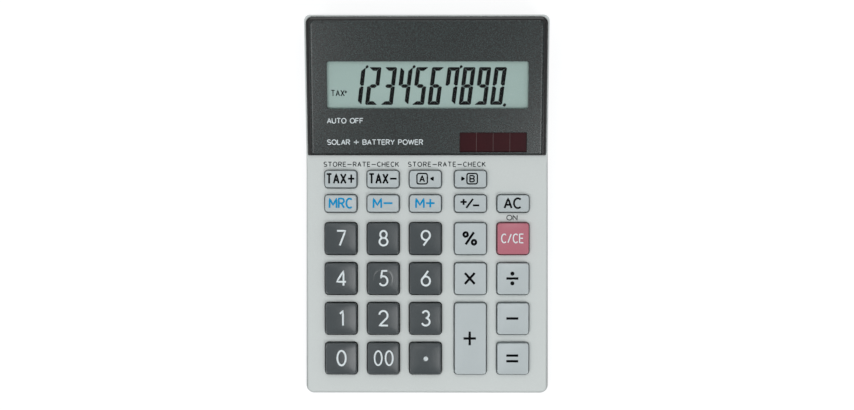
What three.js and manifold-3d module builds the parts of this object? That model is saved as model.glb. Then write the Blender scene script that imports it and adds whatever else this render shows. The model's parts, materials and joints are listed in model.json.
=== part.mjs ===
import * as THREE from "three";
import { mergeVertices } from "three/addons/utils/BufferGeometryUtils.js";
import Module from "manifold-3d";

// Wedge-shaped desk calculator: millimetres, +X right, +Y to the rear, +Z up, standing on z = 0
// The keyboard and the display are two planes with their own slopes, joined at one straight line

const wasm = await Module();
wasm.setup();

// Slopes of the two top planes, in degrees
const keyboardSlope = 2.5;
const displaySlope = 11.5;

// Case walls
const rimInset = 0.8;
const wall = 1.6;
const deckThickness = 2;
const floorThickness = 1.6;
const tubHeight = 4.2;
const cornerRadius = 3.5;
const tightestRadius = 0.4;
const edgeRadius = 1;
const footStand = 0.8;

// The rear case's lip, inside the front case's wall
const lipThickness = 1;
const lipHeight = 1.2;

// Clearances
const seatGap = 0.3;
const slideGap = 0.25;
const overrun = 2;

// Key holes and caps
const keyHole = 15;
const smallKeyHole = 8.6;
const holeRadius = 1.7;
const keyFlange = 0.6;
const flangeThickness = 0.7;
const keyTravel = 1;
const capHeight = 3.2;
const capDraft = 0.25;
const capEdge = 0.7;
const capWall = 1.2;
const dishDepth = 0.3;
const dishRun = 1;
const fingerDishRadius = 4.5;
const fingerDishDepth = 0.35;
const plungerRadius = 1.8;

// Spaces between the key flanges, along the keyboard plane
const digitSpace = 2.45;
const pillarSpace = 0.35;
const lastColumnSpace = 2.6;
const rowSpace = 1.53;
const functionRowSpace = 2.52;
const smallRowSpace = 1;
const sideSpace = 5.6;
const frontSpace = 1.56;

// Rubber mat and circuit board
const domeSpare = 0.1;
const domeRadius = 3.2;
const domeTopRadius = 2;
const domeWall = 0.5;
const matThickness = 0.8;
const matMargin = 0.5;
const boardThickness = 1.2;
const boardSideGap = 1.1;
const solderStrip = 3.2;
const boardToDisplay = 2;
const underBoardGap = 1.2;
const chipRadius = 5;
const chipHeight = 1.5;
const chipCrownShare = 0.55;
const chipShoulderShare = 0.85;
const capacitorRadius = 2;
const capacitorLength = 7;

// Display window, solar window and the spaces round them, along the display plane
const lcdSideMargin = 10.2;
const lcdWindowHeight = 20.3;
const lcdWindowRadius = 0.9;
const lcdToRear = 21;
const solarLength = 29.5;
const solarHeight = 8.7;
const solarRadius = 0.3;
const solarToLcd = 11;

// Bezel and face plate
const silverRim = 0.75;
const junctionStrip = 0.05;
const panelPlay = 0.2;
const recessDepth = 0.6;
const bezelFloor = 1;
const bezelRimHeight = 0.7;
const bezelLip = 0.25;
const bezelSideRim = 0.85;
const bezelFrontRim = 0.5;
const bezelRearRim = 0.5;
const plateGroove = 0.3;
const plateThickness = 0.8;
const plateGap = 0.2;
const plateChamfer = 0.4;
const plateSideBevel = 0.55;
const plateRearBevel = 1;
const plateFrontBevel = 0.25;
const faceStrip = 0.55;

// Display glass, lens, holder and ribbon
const lensLap = 1.2;
const lensThickness = 0.7;
const lensPlay = 0.15;
const glassSideLap = 2.6;
const glassEndLap = 3;
const upperGlass = 0.8;
const lowerGlass = 1;
const glassLedge = 2.4;
const glassPlay = 0.8;
const ribbonRoom = 1.8;
const holderWall = 1.4;
const holderFloor = 1.2;
const ribbonWidth = 40;
const ribbonThickness = 0.2;
const cellLap = 0.4;
const cellThickness = 1.1;
const leadRadius = 0.5;
const leadSpacing = 4;
const leadDrop = 3.4;
const leadHoleMargin = 1;

// Screws and their bosses
const bossRadius = 2.2;
const screwRadius = 1;
const screwHeadRadius = 2.1;
const screwHeadHeight = 1.3;
const screwBite = 4;
const headSink = 0.3;
const headPlay = 0.2;
const headSeat = 1.4;
const bossSink = 0.3;
const pilotGap = 0.3;
const slotWidth = 0.6;
const slotDepth = 0.7;
const slotSpanShare = 0.7;
const headRoundShare = 0.35;
const tipShare = 0.4;
const pillarRadius = 1.5;
const smallScrewRadius = 0.7;
const smallHeadRadius = 1.4;
const smallHeadHeight = 0.8;

// Feet, label recess and ribs under and inside the rear case
const footRadius = 4.5;
const footFromEdge = 12;
const footSink = 0.8;
const footChamfer = 0.4;
const footPlay = 0.15;
const labelWidth = 56;
const labelDepth = 24;
const labelSink = 0.3;
const ribThickness = 1.2;
const ribHeight = 3;
const ribSpacing = 12;

// Button cell, its compartment, contacts and cover
const batteryRadius = 5.8;
const batteryHeight = 5.4;
const batteryCapRadius = 4.6;
const batteryStep = 0.7;
const batteryPlay = 0.4;
const batteryFromSide = 18;
const cupWall = 1.2;
const cupBelowTop = 1;
const coverBorder = 2.6;
const coverTail = 8;
const coverThickness = 1.3;
const coverRadius = 2;
const coverPlay = 0.2;
const coverBossWall = 1.2;
const coverBite = 4;
const tongueWidth = 8;
const tongueReach = 1.5;
const tongueRoot = 1;
const tongueThickness = 0.8;
const ledgeThickness = 1.2;
const ledgeBorder = 2;
const contactThickness = 0.3;
const contactWidth = 4;
const contactTab = 2.5;

// Smoothness of round shapes
const cornerSteps = 2;
const caseCornerSteps = 4;
const caseEdgeSteps = 3;
const tubEdgeSteps = 2;
const capEdgeSteps = 2;
const roundSides = 16;
const screwSides = 10;
const domeSides = 7;
const leadSides = 8;
const leadSteps = 10;

// Sizes that follow from the ones above
const slopeK = THREE.MathUtils.degToRad(keyboardSlope);
const slopeD = THREE.MathUtils.degToRad(displaySlope);
const digitGap = 2 * keyFlange + digitSpace;
const pillarGap = 2 * (keyFlange + pillarRadius + pillarSpace);
const lastColumnGap = 2 * keyFlange + lastColumnSpace;
const rowGap = 2 * keyFlange + rowSpace;
const functionRowGap = 2 * keyFlange + functionRowSpace;
const smallRowGap = 2 * keyFlange + smallRowSpace;
const columnGaps = [digitGap, digitGap, pillarGap, lastColumnGap];
const bigRowCount = 4;
const panelGap = junctionStrip + panelPlay;
const domeHeight = keyTravel + domeSpare;
const bossFromEdge = rimInset + wall + bossRadius - bossSink;
const wellRadius = screwHeadRadius + headPlay;
const wellOuter = wellRadius + cupWall;
const lipOuter = rimInset + wall + seatGap;
const sideMargin = rimInset + wall + keyFlange + sideSpace;
const frontMargin = bossFromEdge + bossRadius + keyFlange + frontSpace;
const labelStrip = keyFlange + matMargin + solderStrip + boardToDisplay;
const solarMargin = panelGap + bezelFrontRim + plateGroove + faceStrip;
const gridWidth = columnGaps.reduce((sum, gap) => sum + gap + keyHole, keyHole);
const bigRowsLength = bigRowCount * keyHole + (bigRowCount - 1) * rowGap;
const smallRowsLength = 2 * smallKeyHole + smallRowGap;
const keyboardLength = frontMargin + bigRowsLength + functionRowGap + smallRowsLength + labelStrip;
const displayLength = solarMargin + solarHeight + solarToLcd + lcdWindowHeight + lcdToRear;
const caseWidth = gridWidth + 2 * sideMargin;
const caseDepth = keyboardLength * Math.cos(slopeK) + displayLength * Math.cos(slopeD);
const lcdWindowWidth = caseWidth - 2 * lcdSideMargin;

// Heights in the keyboard plane's frame, measured down from the deck's surface
const flangeTop = -deckThickness - seatGap;
const flangeBottom = flangeTop - flangeThickness;
const domeTop = flangeBottom - seatGap;
const matTop = domeTop - domeHeight;
const matBottom = matTop - matThickness;
const boardTop = matBottom - seatGap;
const boardBottom = boardTop - boardThickness;

// Heights in the display plane's frame, measured from the platform's surface
const bezelBottom = -recessDepth + seatGap;
const bezelFloorTop = bezelBottom + bezelFloor;
const bezelRimTop = bezelFloorTop + bezelRimHeight;
const plateBottom = bezelFloorTop + plateGap;
const plateTop = plateBottom + plateThickness;
const lensTop = plateBottom - plateGap;
const glassTop = bezelBottom - seatGap;
const ledgeTop = glassTop - upperGlass;
const glassBottom = ledgeTop - lowerGlass;
const holderTop = Math.min(-deckThickness - seatGap, glassTop);
const holderSeat = glassBottom - seatGap;
const holderBottom = holderSeat - holderFloor;

// Heights and places in the whole object's frame
const floorTop = footStand + floorThickness;
const partingHeight = footStand + tubHeight;
const frontY = -caseDepth / 2;
const frontHeight = floorTop + underBoardGap - boardBottom;
const junctionY = frontY + keyboardLength * Math.cos(slopeK);
const junctionHeight = frontHeight + keyboardLength * Math.sin(slopeK);
const boardRear = keyboardLength - boardToDisplay;
const boardFront = bossFromEdge + wellOuter + seatGap;
const boardX = caseWidth / 2 - lipOuter - lipThickness - boardSideGap;
const bossX = caseWidth / 2 - bossFromEdge;
const bossY = caseDepth / 2 - bossFromEdge;
const screwSeat = footStand + headSink + screwHeadHeight;
const wellTop = screwSeat + headPlay + headSeat;
const bossFoot = wellTop + seatGap;
const screwTip = bossFoot + screwBite;
const footX = caseWidth / 2 - footFromEdge;
const footY = caseDepth / 2 - footFromEdge;
const corners = [[-1, -1], [1, -1], [1, 1], [-1, 1]];

// The two planes' frames: y runs up the slope from the front edge, and from the junction line
const keyboardFrame = new THREE.Matrix4()
  .makeRotationX(slopeK)
  .setPosition(0, frontY, frontHeight);
const displayFrame = new THREE.Matrix4()
  .makeRotationX(slopeD)
  .setPosition(0, junctionY, junctionHeight);

function surfaceAt(y) {
  const slope = y <= junctionY ? slopeK : slopeD;
  return junctionHeight + (y - junctionY) * Math.tan(slope);
}

function placed(frame, x, y, z) {
  return new THREE.Vector3(x, y, z).applyMatrix4(frame);
}

// Button cell's place, behind the board's rear edge
const boardEdge = placed(keyboardFrame, 0, boardRear, boardTop);
const cupInner = batteryRadius + batteryPlay;
const cupOuter = cupInner + cupWall;
const batteryX = -caseWidth / 2 + batteryFromSide;
const batteryY = boardEdge.y + seatGap + cupOuter;
const batteryBottom = floorTop + seatGap;
const batteryTop = batteryBottom + batteryHeight;
const coverHalf = cupInner + coverBorder;
const coverFront = batteryY - coverHalf;
const coverRear = batteryY + coverHalf + coverTail;
const coverTop = floorTop - coverPlay;
const coverBottom = coverTop - coverThickness;
const coverScrewY = coverRear - coverTail / 2;
const coverScrewTip = floorTop + coverBite;
const contactX = batteryX - batteryRadius - seatGap - contactThickness / 2;

// Materials
function finish(color, roughness, metalness = 0) {
  return new THREE.MeshStandardMaterial({ color, roughness, metalness });
}

const finishes = {
  frontCase: finish(0xc6cbcc, 0.45, 0.1),
  rearCase: finish(0xcfd3d4, 0.5, 0.1),
  bezel: finish(0x15181a, 0.25),
  face: finish(0x444a4b, 0.5, 0.3),
  darkKey: finish(0x53595b, 0.45),
  lightKey: finish(0xb9bfc1, 0.45),
  clearKey: finish(0xb06c78, 0.45),
  lens: finish(0xe6efee, 0.05),
  glass: finish(0x98ada8, 0.3),
  holder: finish(0xe4e4e0, 0.6),
  ribbon: finish(0x3a3226, 0.5),
  solar: finish(0x3a2024, 0.15),
  board: finish(0x2f6b3c, 0.6),
  resin: finish(0x101010, 0.4),
  sleeve: finish(0x1d2a55, 0.4),
  mat: finish(0xd8d8d4, 0.8),
  steel: finish(0xb4b4b0, 0.35, 0.9),
  rubber: finish(0x26282a, 0.9),
  redWire: finish(0xa02020, 0.5),
  blackWire: finish(0x161616, 0.5),
};

// Rings of points, anticlockwise seen from above
function quarterArc(x, y, radius, quarter, steps = cornerSteps) {
  return Array.from({ length: steps + 1 }, (_, step) => {
    const angle = ((quarter + step / steps) * Math.PI) / 2;
    return [x + radius * Math.cos(angle), y + radius * Math.sin(angle)];
  });
}

function raised(points, z) {
  return points.map(([x, y]) => new THREE.Vector3(x, y, z));
}

function boxRing(x0, x1, y0, y1, radius, z, rearRadius = radius) {
  return raised([
    ...quarterArc(x1 - rearRadius, y1 - rearRadius, rearRadius, 0),
    ...quarterArc(x0 + rearRadius, y1 - rearRadius, rearRadius, 1),
    ...quarterArc(x0 + radius, y0 + radius, radius, 2),
    ...quarterArc(x1 - radius, y0 + radius, radius, 3),
  ], z);
}

function circleRing(x, y, radius, z, sides = roundSides) {
  return Array.from({ length: sides }, (_, side) => {
    const angle = (2 * Math.PI * side) / sides;
    return new THREE.Vector3(x + radius * Math.cos(angle), y + radius * Math.sin(angle), z);
  });
}

// The case outline, starting at the right end of the junction line, where its surface bends
function caseRing(inset, heightAt) {
  const radius = Math.max(cornerRadius - inset, tightestRadius);
  const x = caseWidth / 2 - inset;
  const y = caseDepth / 2 - inset;
  const points = [
    [x, junctionY],
    ...quarterArc(x - radius, y - radius, radius, 0, caseCornerSteps),
    ...quarterArc(radius - x, y - radius, radius, 1, caseCornerSteps),
    [-x, junctionY],
    ...quarterArc(radius - x, radius - y, radius, 2, caseCornerSteps),
    ...quarterArc(x - radius, radius - y, radius, 3, caseCornerSteps),
  ];
  return points.map(([px, py]) => new THREE.Vector3(px, py, heightAt(py)));
}

// The left end of the junction line in that outline
const caseFold = 2 * caseCornerSteps + 3;

const level = (z) => () => z;
const below = (drop) => (y) => surfaceAt(y) - drop;

// Insets and drops along a rounded edge, from its foot to its crown
function roundedEdge(radius, steps) {
  return Array.from({ length: steps + 1 }, (_, step) => {
    const angle = (step / steps) * (Math.PI / 2);
    return [radius * (1 - Math.cos(angle)), radius * (1 - Math.sin(angle))];
  });
}

// A closed skin over rings given from the lowest to the highest, whose ends may fold at point "fold"
function loft(rings, fold = 0) {
  const count = rings[0].length;
  const index = [];
  for (let ring = 0; ring + 1 < rings.length; ring += 1) {
    for (let i = 0; i < count; i += 1) {
      const a = ring * count + i;
      const b = ring * count + ((i + 1) % count);
      index.push(a, b, b + count, a, b + count, a + count);
    }
  }
  const last = (rings.length - 1) * count;
  const fan = (from, to) => {
    for (let i = from + 1; i < to; i += 1) {
      const next = (i + 1) % count;
      index.push(from, next, i, last + from, last + i, last + next);
    }
  };
  if (fold) {
    fan(0, fold);
    fan(fold, count);
  } else {
    fan(0, count - 1);
  }
  const geometry = new THREE.BufferGeometry();
  const positions = rings.flat().flatMap((point) => point.toArray());
  geometry.setAttribute("position", new THREE.Float32BufferAttribute(positions, 3));
  geometry.setIndex(index);
  return geometry;
}

// Solids for joining and cutting
function solid(geometry, frame = new THREE.Matrix4()) {
  const bare = geometry.clone().applyMatrix4(frame);
  bare.deleteAttribute("normal");
  bare.deleteAttribute("uv");
  const merged = mergeVertices(bare);
  return new wasm.Manifold(new wasm.Mesh({
    numProp: 3,
    vertProperties: merged.attributes.position.array,
    triVerts: Uint32Array.from(merged.index.array),
  }));
}

function geometryOf(shape) {
  const { vertProperties, triVerts } = shape.getMesh();
  const geometry = new THREE.BufferGeometry();
  geometry.setAttribute("position", new THREE.BufferAttribute(vertProperties, 3));
  geometry.setIndex(new THREE.BufferAttribute(triVerts, 1));
  return geometry;
}

function block(x0, x1, y0, y1, z0, z1, frame) {
  const geometry = new THREE.BoxGeometry(x1 - x0, y1 - y0, z1 - z0);
  geometry.translate((x0 + x1) / 2, (y0 + y1) / 2, (z0 + z1) / 2);
  return solid(geometry, frame);
}

function roundedBlock(x0, x1, y0, y1, z0, z1, radius, frame) {
  return solid(loft([boxRing(x0, x1, y0, y1, radius, z0), boxRing(x0, x1, y0, y1, radius, z1)]), frame);
}

function rod(x, y, radius, z0, z1, sides = roundSides, frame = undefined) {
  return solid(loft([circleRing(x, y, radius, z0, sides), circleRing(x, y, radius, z1, sides)]), frame);
}

// A strip of even thickness along points in the YZ plane, as wide as told
function strip(points, thickness, x0, x1) {
  const side = (sign) => points.map((point, i) => {
    const before = points[Math.max(i - 1, 0)];
    const after = points[Math.min(i + 1, points.length - 1)];
    const along = after.clone().sub(before).normalize();
    const inward = i > 0 ? point.clone().sub(before).normalize() : along;
    const spread = thickness / 2 / Math.max(along.dot(inward), Math.SQRT1_2);
    return [point.x - sign * along.y * spread, point.y + sign * along.x * spread];
  });
  const outline = [...side(-1), ...side(1).reverse()].map(([y, z]) => new THREE.Vector2(y, z));
  const shape = new THREE.Shape(outline);
  const geometry = new THREE.ExtrudeGeometry(shape, { depth: x1 - x0, bevelEnabled: false });
  const upright = new THREE.Matrix4().makeBasis(
    new THREE.Vector3(0, 1, 0),
    new THREE.Vector3(0, 0, 1),
    new THREE.Vector3(1, 0, 0),
  );
  return geometry.applyMatrix4(upright.setPosition(x0, 0, 0));
}

// Key grid: column and row places on the keyboard plane
const columnX = [-gridWidth / 2 + keyHole / 2];
columnGaps.forEach((gap, i) => columnX.push(columnX[i] + keyHole + gap));
const rowSpans = [];
let rowStart = frontMargin;
for (let row = 0; row < bigRowCount; row += 1) {
  rowSpans.unshift([rowStart, rowStart + keyHole]);
  rowStart += keyHole + (row + 1 < bigRowCount ? rowGap : functionRowGap);
}
rowSpans.unshift([rowStart, rowStart + smallKeyHole]);
rowStart += smallKeyHole + smallRowGap;
rowSpans.unshift([rowStart, rowStart + smallKeyHole]);

// Rows from the rear to the front, columns from the left, and null where another key reaches in
const keyNames = [
  ["tax_plus", "tax_minus", "rate_a", "rate_b"],
  ["memory_recall", "memory_minus", "memory_plus", "sign", "clear_all"],
  ["7", "8", "9", "percent", "clear"],
  ["4", "5", "6", "multiply", "divide"],
  ["1", "2", "3", "plus", "minus"],
  ["0", "00", "point", null, "equals"],
];
const darkNames = ["0", "00", "1", "2", "3", "4", "5", "6", "7", "8", "9", "point"];
const keys = keyNames.flatMap((names, row) => names.map((name, column) => ({ name, row, column })))
  .filter(({ name }) => name !== null)
  .map(({ name, row, column }) => {
    const [front, rear] = rowSpans[row];
    const lowest = name === "plus" ? rowSpans[row + 1][0] : front;
    const x = columnX[column];
    return { name, x0: x - keyHole / 2, x1: x + keyHole / 2, y0: lowest, y1: rear };
  });

function middle({ x0, x1, y0, y1 }) {
  return [(x0 + x1) / 2, (y0 + y1) / 2];
}

function keyRing({ x0, x1, y0, y1 }, inset, z) {
  const radius = Math.max(holeRadius - inset, tightestRadius);
  return boxRing(x0 + inset, x1 - inset, y0 + inset, y1 - inset, radius, z);
}

// Key cap: flange under the deck, drafted sides, rounded edge, shallow dish, hollow with a plunger
function keyCap(key) {
  const top = capHeight;
  const edgeInset = slideGap + capDraft;
  const skin = loft([
    keyRing(key, -keyFlange, flangeBottom),
    keyRing(key, -keyFlange, flangeTop),
    keyRing(key, slideGap, flangeTop),
    ...roundedEdge(capEdge, capEdgeSteps).map(([inset, drop]) => keyRing(key, edgeInset + inset, top - drop)),
    keyRing(key, edgeInset + capEdge + dishRun, top - dishDepth),
  ]);
  const ceiling = top - dishDepth - capWall;
  const hollow = loft([
    keyRing(key, slideGap + capWall, flangeBottom - overrun),
    keyRing(key, slideGap + capDraft + capWall, ceiling),
  ]);
  const [x, y] = middle(key);
  const plunger = rod(x, y, plungerRadius, flangeBottom, ceiling + capWall / 2, screwSides);
  const cap = solid(skin).subtract(solid(hollow)).add(plunger);
  return key.name === "5" ? cap.subtract(fingerDish(x, y)) : cap;
}

// Round finger dish on the centre key
function fingerDish(x, y) {
  const low = capHeight - dishDepth - fingerDishDepth;
  return solid(loft([
    circleRing(x, y, fingerDishRadius / 2, low),
    circleRing(x, y, fingerDishRadius, low + fingerDishDepth),
    circleRing(x, y, fingerDishRadius, capHeight + overrun),
  ]));
}

function keyFinish(name) {
  if (name === "clear") return finishes.clearKey;
  return darkNames.includes(name) ? finishes.darkKey : finishes.lightKey;
}

// Board screws stand in the wide gap between digit and operator columns
const pillarX = (columnX[2] + columnX[3]) / 2;
const pillars = [
  [pillarX, (rowSpans[3][0] + rowSpans[4][1]) / 2],
  [pillarX, (rowSpans[1][0] + rowSpans[2][1]) / 2],
];

// Outline of the bezel and what nests in it, with rounder corners at the rear
const panelX = caseWidth / 2 - rimInset - silverRim;
const panelRear = displayLength - rimInset / Math.cos(slopeD) - silverRim;
const panelRadius = Math.max(cornerRadius - rimInset - silverRim, tightestRadius);

function panelRing(side, front, rear, z) {
  const x = panelX - side;
  const rearRadius = Math.max(panelRadius - side, tightestRadius);
  return boxRing(-x, x, panelGap + front, panelRear - rear, tightestRadius, z, rearRadius);
}

// Windows and the pieces behind them, as boxes on the display plane
const solarY = solarMargin;
const lcdY = solarY + solarHeight + solarToLcd;
const lcdWindowBox = [-lcdWindowWidth / 2, lcdWindowWidth / 2, lcdY, lcdY + lcdWindowHeight];
const solarBox = [lcdWindowWidth / 2 - solarLength, lcdWindowWidth / 2, solarY, solarY + solarHeight];
const grown = ([x0, x1, y0, y1], side, end = side) => [x0 - side, x1 + side, y0 - end, y1 + end];
const lensBox = grown(lcdWindowBox, lensLap);
const glassBox = grown(lcdWindowBox, glassSideLap, glassEndLap);
const cellBox = grown(solarBox, cellLap);
const cellMiddle = [(cellBox[0] + cellBox[1]) / 2, (cellBox[2] + cellBox[3]) / 2];
const leadHole = [
  cellMiddle[0] - leadSpacing / 2 - leadRadius - leadHoleMargin,
  cellMiddle[0] + leadSpacing / 2 + leadRadius + leadHoleMargin,
  cellMiddle[1] - leadRadius - leadHoleMargin,
  cellMiddle[1] + leadRadius + leadHoleMargin,
];

// Front case: top shell with key holes, display recess, glass opening and screw bosses
function frontCase() {
  const edge = roundedEdge(edgeRadius, caseEdgeSteps);
  const outer = loft([
    caseRing(rimInset, level(partingHeight)),
    ...edge.map(([inset, drop]) => caseRing(rimInset + inset, below(drop))),
  ], caseFold);
  const inner = loft([
    caseRing(rimInset + wall, level(partingHeight - overrun)),
    caseRing(rimInset + wall, below(deckThickness)),
  ], caseFold);
  let shell = solid(outer).subtract(solid(inner));
  corners.forEach(([sx, sy]) => {
    const boss = rod(sx * bossX, sy * bossY, bossRadius, bossFoot, surfaceAt(sy * bossY) - deckThickness / 2);
    shell = shell.add(boss).subtract(rod(
      sx * bossX, sy * bossY, screwRadius + pilotGap, bossFoot - overrun, screwTip + seatGap, screwSides,
    ));
  });
  const pillarTop = -deckThickness / 2;
  pillars.forEach(([x, y]) => {
    const pilot = smallScrewRadius + seatGap;
    shell = shell
      .add(rod(x, y, pillarRadius, boardTop + seatGap, pillarTop, screwSides, keyboardFrame))
      .subtract(rod(x, y, pilot, boardTop, pillarTop, screwSides, keyboardFrame));
  });
  keys.forEach((key) => {
    const hole = loft([keyRing(key, 0, -deckThickness - overrun), keyRing(key, 0, overrun)]);
    shell = shell.subtract(solid(hole, keyboardFrame));
  });
  const recess = loft([
    panelRing(-panelPlay, -panelPlay, -panelPlay, -recessDepth),
    panelRing(-panelPlay, -panelPlay, -panelPlay, overrun),
  ]);
  const [x0, x1, y0, y1] = grown(glassBox, glassPlay);
  const glassHole = [x0, x1, y0 + glassPlay - ribbonRoom, y1];
  const through = [-deckThickness - overrun, overrun, displayFrame];
  return shell
    .subtract(solid(recess, displayFrame))
    .subtract(block(...glassHole, ...through))
    .subtract(block(...leadHole, ...through));
}

// Bezel: black frame with a raised rim, a pocket for the face plate and two window openings
function displayBezel() {
  const frame = loft([
    panelRing(0, 0, 0, bezelBottom),
    panelRing(0, 0, 0, bezelRimTop - bezelLip),
    panelRing(bezelLip, 0, bezelLip, bezelRimTop),
  ]);
  const pocket = loft([
    panelRing(bezelSideRim, bezelFrontRim, bezelRearRim, bezelFloorTop),
    panelRing(bezelSideRim, bezelFrontRim, bezelRearRim, bezelRimTop + overrun),
  ]);
  return solid(frame)
    .subtract(solid(pocket))
    .subtract(block(...grown(lensBox, lensPlay), bezelBottom - overrun, bezelRimTop))
    .subtract(block(...grown(cellBox, lensPlay), bezelBottom - overrun, bezelRimTop));
}

// Face plate with bevelled edges and both windows
function facePlate() {
  const side = bezelSideRim + plateGroove;
  const front = bezelFrontRim + plateGroove;
  const rear = bezelRearRim + plateGroove;
  const plate = loft([
    panelRing(side, front, rear, plateBottom),
    panelRing(side, front, rear, plateTop - plateChamfer),
    panelRing(side + plateSideBevel, front + plateFrontBevel, rear + plateRearBevel, plateTop),
  ]);
  return solid(plate)
    .subtract(roundedBlock(...lcdWindowBox, plateBottom - overrun, plateTop + overrun, lcdWindowRadius))
    .subtract(roundedBlock(...solarBox, plateBottom - overrun, plateTop + overrun, solarRadius));
}

// Two glass plates, the lower one longer at the front, where the ribbon is bonded
function lcdGlass() {
  const [x0, x1, y0, y1] = glassBox;
  const upper = block(x0, x1, y0 + glassLedge, y1, ledgeTop - lowerGlass / 2, glassTop);
  return upper.add(block(x0, x1, y0, y1, glassBottom, ledgeTop));
}

// Tray under the glass, open at the front for the ribbon
function lcdHolder() {
  const [x0, x1, y0, y1] = glassBox;
  const side = seatGap + holderWall;
  const tray = block(x0 - side, x1 + side, y0, y1 + side, holderBottom, holderTop);
  return tray.subtract(
    block(x0 - seatGap, x1 + seatGap, y0 - overrun, y1 + seatGap, holderSeat, holderTop + overrun),
  );
}

// Ribbon from the glass ledge down to the board's solder strip
function lcdRibbon() {
  const half = ribbonThickness / 2;
  const drop = glassBox[2] - ribbonRoom / 2;
  const onGlass = ledgeTop + seatGap + half;
  const onBoard = boardTop + seatGap + half;
  const path = [
    placed(displayFrame, 0, glassBox[2] + glassLedge - seatGap - half, onGlass),
    placed(displayFrame, 0, drop + half, onGlass),
    placed(displayFrame, 0, drop, onGlass - half),
    placed(displayFrame, 0, drop, holderBottom),
    placed(keyboardFrame, 0, boardRear + boardToDisplay, onBoard),
    placed(keyboardFrame, 0, boardRear - solderStrip + seatGap, onBoard),
  ].map(({ y, z }) => new THREE.Vector2(y, z));
  return strip(path, ribbonThickness, -ribbonWidth / 2, ribbonWidth / 2);
}

// Insulated wire from under the solar cell to the solder strip
function solarLead(side) {
  const x = cellMiddle[0] + (side * leadSpacing) / 2;
  const onBoard = boardTop + seatGap + leadRadius;
  const cellUnder = lensTop - cellThickness - seatGap;
  const start = placed(displayFrame, x, cellMiddle[1], cellUnder);
  const path = new THREE.CatmullRomCurve3([
    start,
    placed(displayFrame, x, cellMiddle[1], cellUnder - leadDrop),
    placed(keyboardFrame, x, boardRear + boardToDisplay, onBoard + leadRadius),
    placed(keyboardFrame, x, boardRear - solderStrip / 2, onBoard),
    placed(keyboardFrame, x, boardRear - solderStrip + leadRadius, onBoard),
  ], false, "centripetal");
  const section = new THREE.Shape().absarc(0, 0, leadRadius, 0, 2 * Math.PI);
  return new THREE.ExtrudeGeometry(section, {
    extrudePath: path,
    steps: leadSteps,
    curveSegments: leadSides / 2,
    bevelEnabled: false,
  });
}

// Rubber mat: one sheet with a hollow dome under each key
function keypadMat() {
  const x = boardX - matMargin;
  let mat = block(-x, x, boardFront + matMargin, boardRear - solderStrip, matBottom, matTop);
  keys.forEach((key) => {
    const [kx, ky] = middle(key);
    const dome = loft([
      circleRing(kx, ky, domeRadius, matBottom + matThickness / 2, domeSides),
      circleRing(kx, ky, domeRadius, matTop, domeSides),
      circleRing(kx, ky, domeTopRadius, domeTop, domeSides),
    ]);
    const hollow = loft([
      circleRing(kx, ky, domeRadius - domeWall, matBottom - overrun, domeSides),
      circleRing(kx, ky, domeRadius - domeWall, matTop, domeSides),
      circleRing(kx, ky, domeTopRadius - domeWall, domeTop - domeWall, domeSides),
    ]);
    mat = mat.add(solid(dome)).subtract(solid(hollow));
  });
  pillars.forEach(([px, py]) => {
    const hole = pillarRadius + seatGap;
    mat = mat.subtract(rod(px, py, hole, matBottom - overrun, matTop + overrun, screwSides));
  });
  return mat;
}

// Circuit board with its two screw holes
function mainBoard() {
  let board = block(-boardX, boardX, boardFront, boardRear, boardBottom, boardTop);
  pillars.forEach(([x, y]) => {
    board = board.subtract(
      rod(x, y, smallScrewRadius + seatGap, boardBottom - overrun, boardTop + overrun, screwSides),
    );
  });
  return board;
}

// Resin drop over the chip, under the board
function chipBlob() {
  const y = rowSpans[0][0];
  const top = boardBottom - seatGap;
  return loft([
    circleRing(0, y, chipRadius * chipCrownShare, top - chipHeight),
    circleRing(0, y, chipRadius * chipShoulderShare, top - chipHeight / 2),
    circleRing(0, y, chipRadius, top),
  ]);
}

// Capacitor lying under the board
function capacitor() {
  const x = columnX[3];
  const y = rowSpans[0][0];
  const can = new THREE.CylinderGeometry(capacitorRadius, capacitorRadius, capacitorLength, screwSides);
  can.rotateZ(Math.PI / 2);
  return can.translate(x, y, boardBottom - seatGap - capacitorRadius);
}

// Screw with a cross slot, standing head down
function screw(x, y, radius, headRadius, headHeight, seat, tip) {
  const low = seat - headHeight;
  const body = loft([
    circleRing(x, y, headRadius - headHeight * headRoundShare, low, screwSides),
    circleRing(x, y, headRadius, low + headHeight * headRoundShare, screwSides),
    circleRing(x, y, headRadius, seat, screwSides),
    circleRing(x, y, radius, seat, screwSides),
    circleRing(x, y, radius, tip - radius, screwSides),
    circleRing(x, y, radius * tipShare, tip, screwSides),
  ]);
  const span = headRadius * slotSpanShare;
  const width = (slotWidth / 2) * (headRadius / screwHeadRadius);
  const depth = Math.min(slotDepth, headHeight / 2);
  return solid(body)
    .subtract(block(x - span, x + span, y - width, y + width, low - overrun, low + depth))
    .subtract(block(x - width, x + width, y - span, y + span, low - overrun, low + depth));
}

// Rubber foot
function foot(x, y) {
  return loft([
    circleRing(x, y, footRadius - footChamfer, 0),
    circleRing(x, y, footRadius, footChamfer),
    circleRing(x, y, footRadius, footStand + footSink),
  ]);
}

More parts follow.
